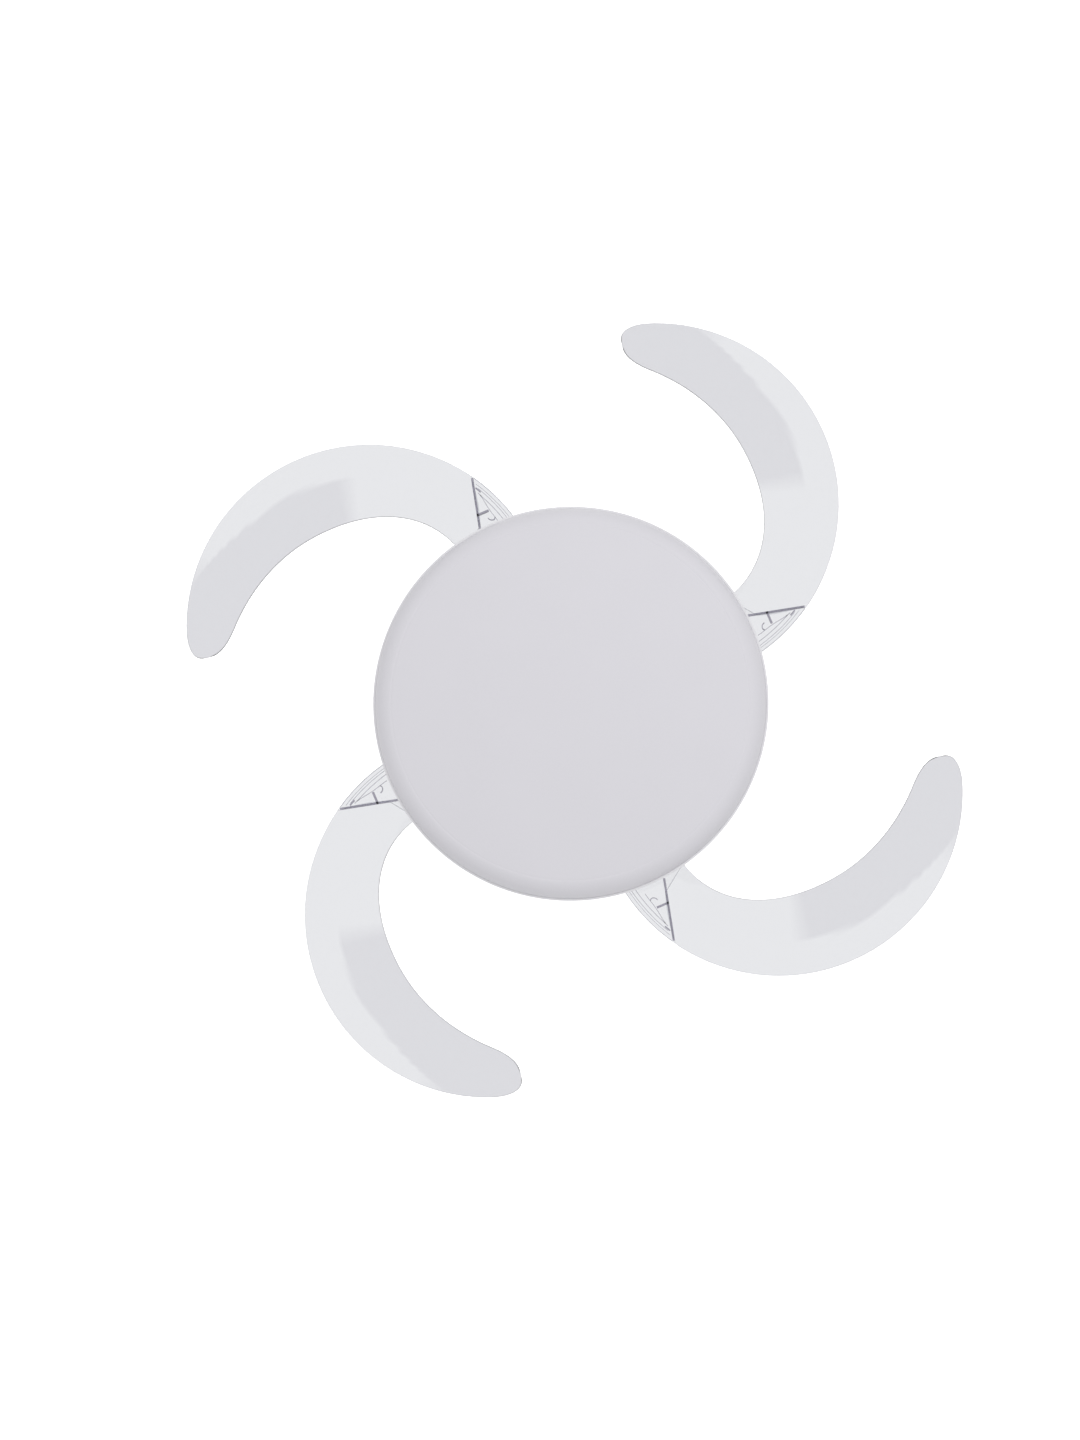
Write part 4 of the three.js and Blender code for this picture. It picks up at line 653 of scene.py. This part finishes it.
def hinge_ribs(b, bottom):
    """The strong rib from the apex, its short branch, the bars beside the outer edge and the small
    hook, each a wall under the plate."""
    sunk = bottom + 0.4 * MM
    deep = bottom - b.rib_height
    shallow = bottom - b.fine_rib_height
    end_radii = np.array([b.outer_radius - 2.5 * MM, ROOT_MIDDLE_RADIUS + 1.1 * MM])
    apex, middle = arc_point(end_radii, np.array([ROOT_APEX - 1, ROOT_MIDDLE - 0.3]))
    beyond = middle + (middle - apex) * 0.24

    def straight(*points):
        return line(*(np.array(points) * MM))

    def curve(*points):
        return smooth_path(np.array(points) * MM)

    def beside_edge(inset, start, end):
        return arc_point(b.outer_radius - inset * MM, np.linspace(start, end, 26))

    branch = curve((196.6, -112), (200.4, -98), (202.2, -88), (205.4, -76), (209.4, -62))
    hook = curve((197.2, -75.4), (200.0, -71.4), (203.0, -70.6), (206.2, -73.0))
    ribs = (  # path, width, lower edge, how dark its painted shade is
        (line(apex, beyond, 20), b.rib_wall, deep, 0.85),
        (straight((184.8, -83.6), (201.6, -84.3)), b.rib_wall, deep, 0.85),
        (straight((196.1, -118.6), (200.3, -110.8)), 1.8 * MM, deep, 0.8),
        (beside_edge(1.0, 33.6, 6.5), 0.6 * MM, shallow, 0.30),
        (beside_edge(5.6, 32.0, 7.0), 0.6 * MM, shallow, 0.35),
        (beside_edge(8.6, 30.6, 8.0), 0.7 * MM, shallow, 0.45),
        (beside_edge(13.6, 28.6, 8.6), 0.8 * MM, shallow, 0.55),
        (branch, 0.8 * MM, shallow, 0.6),
        (hook, 1.2 * MM, deep + 1.5 * MM, 0.8),
    )
    return [rib_surface(path, width, sunk, lower, thick) for path, width, lower, thick in ribs]


# ---------------------------------------------------------------- finishes


def add(tree, kind, *terms, **values):
    """Adds a node. Named values go to its properties, or else to its inputs of that name, and terms
    go to its inputs in order. Each is a plain value, or another node's output, which is linked."""
    node = tree.nodes.new(kind)
    for key, value in (*values.items(), *enumerate(terms)):
        if isinstance(key, str) and hasattr(node, key):
            setattr(node, key, value)
            continue
        socket = node.inputs[key.replace("_", " ") if isinstance(key, str) else key]
        if isinstance(value, bpy.types.NodeSocket):
            tree.links.new(value, socket)
        else:
            socket.default_value = value
    return node


def out(tree, kind, *terms, socket=0, **values):
    """Adds a node, and gives one of its outputs."""
    return add(tree, kind, *terms, **values).outputs[socket]


def placed(tree, group, **values):
    """Puts a group into a material with its own values."""
    return add(tree, "ShaderNodeGroup", node_tree=group, **values)


def rgb(values):
    """A colour with its fourth number."""
    return (*values, 1.0)


def shader_group(name, **inputs):
    """A group with named sockets, built once. The function below it makes the nodes from the
    coordinates and the given inputs, and returns the outputs by name."""

    def with_nodes(fill):
        def build():
            if name in bpy.data.node_groups:
                return bpy.data.node_groups[name]
            group = bpy.data.node_groups.new(name, "ShaderNodeTree")
            for key, value in inputs.items():
                kind = "NodeSocketFloat" if isinstance(value, float) else "NodeSocketColor"
                label = key.replace("_", " ")
                socket = group.interface.new_socket(name=label, in_out="INPUT", socket_type=kind)
                socket.default_value = value
            given = add(group, "NodeGroupInput").outputs
            found = fill(group, add(group, "ShaderNodeTexCoord").outputs, given)
            for label in found:
                kind = "NodeSocketColor" if label == "Color" else "NodeSocketFloat"
                group.interface.new_socket(name=label, in_out="OUTPUT", socket_type=kind)
            add(group, "NodeGroupOutput", **found)
            return group

        return build

    return with_nodes


def noise(group, where, scale, detail):
    """The factor of a noise on the given coordinates."""
    return out(group, "ShaderNodeTexNoise", Vector=where, Scale=scale, Detail=detail)


def times(group, a, b):
    """The product of two values."""
    return out(group, "ShaderNodeMath", a, b, operation="MULTIPLY")


def either(tree, a, b):
    """The larger of two values."""
    return out(tree, "ShaderNodeMath", a, b, operation="MAXIMUM")


def spread(group, value, low_end, high_end, bottom=0.0, top=1.0):
    """A value between two ends, taken to the range from bottom to top."""
    return out(
        group, "ShaderNodeMapRange", Value=value, From_Min=low_end, From_Max=high_end, To_Min=bottom,
        To_Max=top,
    )


def blended(tree, share, a, b):
    """A colour between two colours."""
    return out(tree, "ShaderNodeMix", data_type="RGBA", Factor=share, A=a, B=b, socket="Result")


@shader_group(
    "Soft mottle", Tone=rgb((0.8, 0.8, 0.8)), Other_tone=rgb((0.7, 0.7, 0.7)), Patch_scale=12.0,
    Speckle_scale=400.0,
)
def soft_mottle(group, place, given):
    """Colour that drifts between two tones in soft patches, with a finer speckle inside them."""
    patches = noise(group, place["Object"], given["Patch scale"], 3.0)
    speckle = noise(group, place["Object"], given["Speckle scale"], 2.0)
    share = spread(group, times(group, patches, speckle), 0.12, 0.38)
    return {"Color": blended(group, share, given["Tone"], given["Other tone"])}


@shader_group("Moulded skin", Grain_scale=900.0, Wave_scale=40.0, Smoothest=0.3, Roughest=0.4)
def moulded_skin(group, place, given):
    """A moulded or painted skin: a fine uneven height, and a roughness that drifts with it."""
    grain = noise(group, place["Object"], given["Grain scale"], 2.0)
    wave = noise(group, place["Object"], given["Wave scale"], 1.0)
    return {
        "Height": out(group, "ShaderNodeMath", grain, 0.35, wave, operation="MULTIPLY_ADD"),
        "Roughness": spread(group, wave, 0.3, 0.7, given["Smoothest"], given["Roughest"]),
    }


@shader_group("Turning marks", Rings=1500.0, Smoothest=0.25, Roughest=0.45)
def turning_marks(group, place, given):
    """Marks of turning: rings by the distance from the fan's axis, broken up by noise."""
    flat = out(group, "ShaderNodeVectorMath", place["Object"], (1, 1, 0), operation="MULTIPLY")
    far = out(group, "ShaderNodeVectorMath", flat, operation="LENGTH", socket="Value")
    smudge = noise(group, place["Object"], 25.0, 2.0)
    return {
        "Height": out(
            group, "ShaderNodeTexNoise", noise_dimensions="1D", W=far, Scale=given["Rings"], Detail=3.0
        ),
        "Roughness": spread(group, smudge, 0.3, 0.7, given["Smoothest"], given["Roughest"]),
    }


@shader_group("Settled dust", Color=rgb((0.8, 0.8, 0.8)), Dust=rgb((0.62, 0.61, 0.59)), Most=0.25)
def settled_dust(group, place, given):
    """Dust that settles where a surface faces up, thicker in some patches than in others."""
    facing = out(group, "ShaderNodeSeparateXYZ", place["Normal"], socket="Z")
    patchy = spread(group, noise(group, place["Object"], 18.0, 5.0), 0.35, 0.7)
    some = times(group, spread(group, facing, 0.6, 1.0), patchy)
    return {"Color": blended(group, times(group, some, given["Most"]), given["Color"], given["Dust"])}


def new_material(name):
    """A material with its tree and its Principled shader's inputs."""
    material = bpy.data.materials.new(name)
    material.use_nodes = True
    return material, material.node_tree, material.node_tree.nodes["Principled BSDF"].inputs


def surfaced(tree, inputs, texture, strength, distance):
    """Lets a texture group drive the roughness and a fine relief."""
    relief = out(
        tree, "ShaderNodeBump", Strength=strength, Distance=distance, Height=texture.outputs["Height"]
    )
    tree.links.new(texture.outputs["Roughness"], inputs["Roughness"])
    tree.links.new(relief, inputs["Normal"])


def finish(name, tone, other, texture, bump, dusty=0.0, **principled):
    """One material: mottled colour, dust if wanted, and height and roughness from a texture group.
    A tone may be named for a colour setting, and the other tone is then a share of it."""
    if name in bpy.data.materials:
        return bpy.data.materials[name]
    if isinstance(tone, str):
        tone = tuple(getattr(settings().colours, tone))
        other = tuple(v * other for v in tone)
    material, tree, inputs = new_material(name)
    for key, value in principled.items():
        inputs[key.replace("_", " ")].default_value = value
    skin_colour = placed(tree, soft_mottle(), Tone=rgb(tone), Other_tone=rgb(other)).outputs["Color"]
    if dusty:
        skin_colour = placed(tree, settled_dust(), Most=dusty, Color=skin_colour).outputs["Color"]
    tree.links.new(skin_colour, inputs["Base Color"])
    surfaced(tree, inputs, texture(tree), *bump)
    return material


def skin(smoothest, roughest, grain, wave):
    """The moulded skin with its values, ready to be placed."""
    return lambda tree: placed(
        tree, moulded_skin(), Smoothest=smoothest, Roughest=roughest, Grain_scale=grain, Wave_scale=wave
    )


def turning(smoothest, roughest, rings=1500.0):
    """The turning marks with their values, ready to be placed."""
    return lambda tree: placed(
        tree, turning_marks(), Smoothest=smoothest, Roughest=roughest, Rings=rings
    )


CLEAR_NAME = "Clear blade plastic"


def clear_finish():
    """Polished clear plastic. Its tint goes from the clear one to the darker one by the painted shade
    value, so that the tint paints light and shade on the blades.
    """
    if CLEAR_NAME in bpy.data.materials:
        return bpy.data.materials[CLEAR_NAME]
    c = settings().colours
    material, tree, inputs = new_material(CLEAR_NAME)
    inputs["Transmission Weight"].default_value = 1.0
    inputs["IOR"].default_value = 1.49
    inputs["Metallic"].default_value = 0.0
    thick = out(tree, "ShaderNodeAttribute", attribute_name="thick", socket="Fac")
    tree.links.new(blended(tree, thick, rgb(c.clear), rgb(c.clear_shaded)), inputs["Base Color"])
    surfaced(tree, inputs, skin(0.02, 0.06, 60.0, 9.0)(tree), 0.04, 0.001)
    return material


# For each slot: the name, two tones, the texture, the relief's strength and depth, and the rest.
FINISHES = {
    "steel": (
        "Zinc plated steel", (0.60, 0.61, 0.63), (0.52, 0.53, 0.56), skin(0.26, 0.42, 700, 60),
        (0.08, 0.0006), {"Metallic": 1.0}),
    "brass": (
        "Turned brass", (0.71, 0.55, 0.28), (0.62, 0.46, 0.22), turning(0.22, 0.4), (0.08, 0.0004),
        {"Metallic": 1.0}),
    "aluminium": (
        "Die-cast aluminium", (0.74, 0.75, 0.77), (0.66, 0.67, 0.69), turning(0.32, 0.5), (0.10, 0.0005),
        {"dusty": 0.12, "Metallic": 1.0}),
    "lamination": (
        "Stamped iron sheets", (0.30, 0.31, 0.33), (0.22, 0.22, 0.24), skin(0.4, 0.6, 1200, 90),
        (0.2, 0.0005), {"Metallic": 1.0}),
    "magnet": (
        "Sintered magnet", (0.12, 0.12, 0.13), (0.08, 0.08, 0.09), skin(0.45, 0.65, 1500, 80),
        (0.2, 0.0004), {"Metallic": 0.6}),
    "copper": (
        "Enamelled copper wire", (0.62, 0.26, 0.11), (0.45, 0.16, 0.06), turning(0.2, 0.35, 900),
        (0.6, 0.0012), {"Metallic": 0.9, "Coat_Weight": 0.6}),
    "white_paint": (
        "Satin white paint", "paint", 0.965, skin(0.28, 0.36, 1100, 45), (0.05, 0.0006),
        {"dusty": 0.10, "Coat_Weight": 0.25}),
    "white_plastic": (
        "Satin white plastic", "white", 0.97, skin(0.33, 0.42, 1300, 30), (0.05, 0.0006), {"dusty": 0.10}),
    "gear_plastic": (
        "Natural gear plastic", (0.74, 0.73, 0.67), (0.68, 0.67, 0.61), skin(0.4, 0.5, 800, 50),
        (0.08, 0.0006), {}),
    "grey_plastic": (
        "Grey moulded plastic", (0.24, 0.245, 0.26), (0.20, 0.205, 0.22), skin(0.42, 0.55, 900, 60),
        (0.1, 0.0006), {}),
    "board_white": (
        "White solder mask", (0.82, 0.82, 0.78), (0.77, 0.77, 0.72), skin(0.3, 0.4, 700, 80),
        (0.08, 0.0004), {"Coat_Weight": 0.2}),
    "cable": (
        "Grey cable sheath", (0.17, 0.17, 0.18), (0.13, 0.13, 0.14), skin(0.5, 0.62, 900, 120),
        (0.12, 0.0006), {}),
    "opal": (
        "Frosted opal", "opal", 0.985, skin(0.30, 0.36, 1600, 14), (0.03, 0.0005),
        {"Coat_Weight": 0.12, "Coat_Roughness": 0.35}),
}


def finish_for(slot):
    """The finish of each of the record's material slots."""
    if slot == "clear_blade":
        return clear_finish()
    *plain, others = FINISHES[slot]
    return finish(*plain, **others)


# ---------------------------------------------------------------- operators


class FAN_OT_lamp_cover(bpy.types.Operator):
    """Make the frosted cover of the lamp"""

    bl_idname = "fan.lamp_cover"
    bl_label = "Lamp Cover"

    def execute(self, context):
        s = settings()
        lip_top = high("diffuser")
        surface = lamp_cover_surface(s.lamp, lip_top - LIP_HEIGHT, LIP_RADIUS, lip_top, s.segments + 64)
        piece("lamp_cover", surface, finish_for("opal"), "fixed_body", "diffuser", sharp=60)
        return {"FINISHED"}


class FAN_OT_lamp_drum(bpy.types.Operator):
    """Make the drum that holds the lamp, and the rim under it"""

    bl_idname = "fan.lamp_drum"
    bl_label = "Lamp Drum and Rim"

    def execute(self, context):
        s = settings()
        paint = finish_for("white_paint")
        top, bottom = high("lamp_pan"), low("lamp_pan")
        drum = drum_surface(s.lamp, reach("lamp_pan"), SHAFT_HOLE, top, bottom, s.segments)
        piece("lamp_drum", drum, paint, "fixed_body", "lamp_pan")
        rim = ring_surface(
            reach("trim_ring"), RIM_BORE, high("trim_ring"), low("trim_ring"), 0.9 * MM, s.segments + 64
        )
        piece("lamp_rim", rim, paint, "fixed_body", "trim_ring")
        return {"FINISHED"}


class FAN_OT_clear_blades(bpy.types.Operator):
    """Make the four clear blades with their ribbed hinge plates"""

    bl_idname = "fan.clear_blades"
    bl_label = "Clear Blades"

    def execute(self, context):
        b = settings().blade
        top = low("blade_gear_1") - GEAR_GAP
        bottom = top - b.root_sheet
        wing = wing_surface(b, (top + bottom) / 2)
        plate = hinge_plate_surface(b, top, bottom, BUSH_BORE)
        folded = together([wing, plate] + hinge_ribs(b, bottom))
        about_pivot = Matrix.Translation((b.pivot_radius, 0, 0))
        opened = about_pivot @ Matrix.Rotation(b.fold, 4, "Z") @ about_pivot.inverted()
        for number in BLADE_NUMBERS:
            place = Matrix.Rotation(b.first_pivot + (number - 1) * np.pi / 2, 4, "Z")
            piece(
                f"clear_blade_{number}", folded.moved(place @ opened), clear_finish(),
                f"blade_arm_{number}", f"blade_{number}", sharp=50,
            )
        return {"FINISHED"}


class FAN_OT_covers(bpy.types.Operator):
    """Make the cover over the blade mechanism, and the canopy"""

    bl_idname = "fan.covers"
    bl_label = "Fan Cover and Canopy"

    def execute(self, context):
        s = settings()
        white = finish_for("white_plastic")
        top, rim = high("top_cover"), low("top_cover")
        cover = fan_cover_surface(s.cover, reach("top_cover"), top, rim, s.segments)
        piece("fan_cover", cover, white, "rotor", "top_cover")
        cup = canopy_surface(s.cover, reach("canopy"), high("canopy"), low("canopy"), s.segments)
        piece("canopy_cup", cup, white, "fixed_body", "canopy")
        return {"FINISHED"}


class FAN_OT_motor(bpy.types.Operator):
    """Make the motor's two die-cast shells"""

    bl_idname = "fan.motor_shells"
    bl_label = "Motor Shells"

    def execute(self, context):
        s = settings()
        cast = finish_for("aluminium")
        upper = shell_surface([
            (14, -82, 0.5), (91, -82, 4), (97, -88, 4), (97, -96.7, 1), (112, -96.7, 0.8),
            (112, -99.7, 0.8), (97, -99.7, 0), (97, -111.4, 0.6), (93, -111.4, 0.6), (93, -86, 5),
            (26.3, -86, 2), (26.3, -96, 0.6), (21.3, -96, 0.4), (21.3, -84, 0.4), (14, -84, 0.4),
        ], s.segments)
        piece("motor_upper_shell", upper, cast, "rotor", "rotor_top_shell")
        lower = shell_surface([
            (14, -146, 0.5), (84, -146, 6), (97, -133, 6), (97, -114.7, 1), (107, -114.7, 0.8),
            (107, -111.7, 0.8), (93, -111.7, 0.5), (93, -131, 4), (82, -142, 4), (26.3, -142, 2),
            (26.3, -132, 0.6), (21.3, -132, 0.4), (21.3, -144, 0.4), (14, -144, 0.4),
        ], s.segments)
        piece("motor_lower_shell", lower, cast, "rotor", "rotor_bottom_shell")
        return {"FINISHED"}


class FAN_OT_shaft(bpy.types.Operator):
    """Make the threaded shaft and its three nuts"""

    bl_idname = "fan.shaft_and_nuts"
    bl_label = "Shaft and Nuts"

    def execute(self, context):
        steel = finish_for("steel")
        top, bottom = high("shaft"), low("shaft")
        threads = [(top - 1 * MM, top - 32 * MM), (bottom + 20 * MM, bottom + 1 * MM)]
        shaft = shaft_surface(SHAFT_RADIUS, SHAFT_BORE, top, bottom, threads)
        piece("threaded_shaft", shaft, steel, "fixed_body", "shaft")
        for name in ("shaft_nut", "shaft_lock_nut", "lamp_nut"):
            nut = nut_surface(NUT_CORNERS * np.cos(np.pi / 6), SHAFT_HOLE, high(name), low(name))
            piece(f"hex_{name}", nut, steel, "fixed_body", name, sharp=25)
        return {"FINISHED"}


class FAN_OT_pivots(bpy.types.Operator):
    """Make the pins that the blades turn on, and their springs"""

    bl_idname = "fan.pins_and_springs"
    bl_label = "Pins and Springs"

    def execute(self, context):
        s = settings()
        steel = finish_for("steel")
        for number in BLADE_NUMBERS:
            angle = s.blade.first_pivot + (number - 1) * np.pi / 2
            place = turned_about(angle, s.blade.pivot_radius)
            pin, spring = f"pivot_pin_{number}", f"return_spring_{number}"
            head_top, collar = low(pin) + PIN_HEAD_HEIGHT, high(pin) - PIN_STUB
            pin_shape = pin_surface(s.pivot.pin_radius, head_top, collar, high(pin)).moved(place)
            piece(f"rivet_pin_{number}", pin_shape, steel, "rotor", pin)
            wire = spring_surface(s.pivot, low(spring) + s.pivot.wire / 2).moved(place)
            piece(f"coil_spring_{number}", wire, steel, "rotor", spring)
        return {"FINISHED"}


class FAN_OT_finishes(bpy.types.Operator):
    """Give every remaining solid the finish of its material slot"""

    bl_idname = "fan.finishes"
    bl_label = "Finishes"

    def execute(self, context):
        for name, thing in NODES.items():
            for holder in thing.material_slots:
                holder.material = finish_for(holder.material.name.split(".")[0])
        return {"FINISHED"}


CAMERA_PLACE = Vector((0.138964, 0.377666, -4.494015))
CAMERA_AIM = Vector((-0.042364, 0.015925, -0.118))
CAMERA_LENS = 83.74


class FAN_OT_studio(bpy.types.Operator):
    """Make the white studio: a ceiling behind the fan, soft lamps below it, and the camera"""

    bl_idname = "fan.studio"
    bl_label = "Studio"

    def execute(self, context):
        scene = context.scene
        studio = settings().studio
        self.make_ceiling(scene)
        self.make_world(scene, studio.sky)
        self.make_lamp(scene, "key_lamp", (0.95, -0.75, -2.3), (1.2, 1.2), studio.key)
        self.make_lamp(scene, "fill_lamp", (-0.75, -0.45, -4.2), (1.1, 1.1), studio.fill)
        self.make_lamp(scene, "top_lamp", (0.0, -1.15, -4.1), (1.3, 0.9), studio.back)
        self.make_camera(scene)
        scene.view_settings.view_transform = "Standard"
        return {"FINISHED"}

    def make_ceiling(self, scene):
        """A white plane behind the fan that faces down. Seen from above it is not there."""
        half, height = 9.0, 0.006
        mesh = bpy.data.meshes.new("white_ceiling")
        corners = [(-half, -half), (-half, half), (half, half), (half, -half)]
        mesh.from_pydata([(x, y, height) for x, y in corners], [], [(0, 1, 2, 3)])
        ceiling = bpy.data.objects.new("white_ceiling", mesh)
        scene.collection.objects.link(ceiling)
        material = bpy.data.materials.new("White ceiling")
        material.use_nodes = True
        tree = material.node_tree
        tree.nodes.clear()
        path = add(tree, "ShaderNodeLightPath").outputs
        back = out(tree, "ShaderNodeNewGeometry", socket="Backfacing")
        plain = out(tree, "ShaderNodeBsdfDiffuse", Color=rgb((0.8, 0.8, 0.8)))
        glow = out(tree, "ShaderNodeEmission", Strength=0.9)
        white = out(tree, "ShaderNodeEmission", Strength=1.0)
        nothing = out(tree, "ShaderNodeBsdfTransparent")
        seen = out(tree, "ShaderNodeAddShader", plain, glow)
        mirrored = either(tree, path["Is Glossy Ray"], path["Is Transmission Ray"])
        reflected = out(tree, "ShaderNodeMixShader", mirrored, nothing, white)
        direct = out(tree, "ShaderNodeMixShader", path["Is Camera Ray"], reflected, seen)
        one_sided = out(tree, "ShaderNodeMixShader", back, direct, nothing)
        add(tree, "ShaderNodeOutputMaterial", Surface=one_sided)
        mesh.materials.append(material)

    def make_world(self, scene, sky):
        """White where it is seen, reflected or looked through, and plain soft light otherwise."""
        world = bpy.data.worlds.new("White studio")
        world.use_nodes = True
        tree = world.node_tree
        backdrop = tree.nodes["Background"]
        backdrop.inputs["Color"].default_value = rgb((1, 1, 1))
        path = add(tree, "ShaderNodeLightPath").outputs
        mirrored = either(tree, path["Is Glossy Ray"], path["Is Transmission Ray"])
        white = either(tree, path["Is Camera Ray"], mirrored)
        strength = spread(tree, white, 0.0, 1.0, sky, 1.0)
        tree.links.new(strength, backdrop.inputs["Strength"])
        scene.world = world

    def make_lamp(self, scene, name, place, size, power):
        """A soft rectangular lamp that faces the fan's lamp."""
        lamp = bpy.data.lights.new(name, "AREA")
        lamp.shape = "RECTANGLE"
        lamp.size, lamp.size_y = size
        lamp.energy = power
        thing = bpy.data.objects.new(name, lamp)
        thing.location = place
        ahead = Vector((0, 0, -0.2)) - Vector(place)
        thing.rotation_euler = ahead.to_track_quat("-Z", "Y").to_euler()
        thing.visible_camera = False
        thing.visible_glossy = False
        thing.visible_transmission = False
        scene.collection.objects.link(thing)

    def make_camera(self, scene):
        """The photograph's camera: almost straight below, with -Y up in the picture."""
        data = bpy.data.cameras.new("photo_camera")
        data.lens = CAMERA_LENS
        data.sensor_width = 36
        data.clip_end = 100
        camera = bpy.data.objects.new("photo_camera", data)
        ahead = (CAMERA_AIM - CAMERA_PLACE).normalized()
        up = Vector((0, -1, 0))
        up = (up - ahead * up.dot(ahead)).normalized()
        right = ahead.cross(up)
        turned_matrix = Matrix((right, up, -ahead)).transposed().to_4x4()
        camera.matrix_world = Matrix.Translation(CAMERA_PLACE) @ turned_matrix
        scene.collection.objects.link(camera)
        scene.camera = camera


class FAN_PT_panel(bpy.types.Panel):
    """Lists the fan's pieces and sizes"""

    bl_idname = "FAN_PT_panel"
    bl_label = "Ceiling Fan"
    bl_space_type = "VIEW_3D"
    bl_region_type = "UI"
    bl_category = "Ceiling Fan"

    def draw(self, context):
        fan = context.scene.ceiling_fan
        layout = self.layout
        layout.prop(fan, "segments")
        for label, group in (
            ("Lamp", fan.lamp), ("Blades", fan.blade), ("Covers", fan.cover),
            ("Pivots", fan.pivot), ("Colours", fan.colours), ("Studio", fan.studio),
        ):
            box = layout.box()
            box.label(text=label)
            for key in group.bl_rna.properties.keys():
                if key not in ("rna_type", "name"):
                    box.prop(group, key)
        for step in STEPS:
            layout.operator(step.bl_idname)


STEPS = (
    FAN_OT_studio, FAN_OT_lamp_cover, FAN_OT_lamp_drum, FAN_OT_clear_blades, FAN_OT_covers,
    FAN_OT_motor, FAN_OT_shaft, FAN_OT_pivots, FAN_OT_finishes,
)
CLASSES = (
    LampSizes, BladeSizes, CoverSizes, PivotSizes, FanColours, StudioSettings, CeilingFan,
    *STEPS, FAN_PT_panel,
)


def register():
    for item in CLASSES:
        bpy.utils.register_class(item)
    bpy.types.Scene.ceiling_fan = PointerProperty(type=CeilingFan)


def unregister():
    del bpy.types.Scene.ceiling_fan
    for item in reversed(CLASSES):
        bpy.utils.unregister_class(item)


def main():
    """Builds the fan step by step."""
    register()
    for step in STEPS:
        family, name = step.bl_idname.split(".")
        getattr(getattr(bpy.ops, family), name)()


if __name__ == "__main__":
    main()
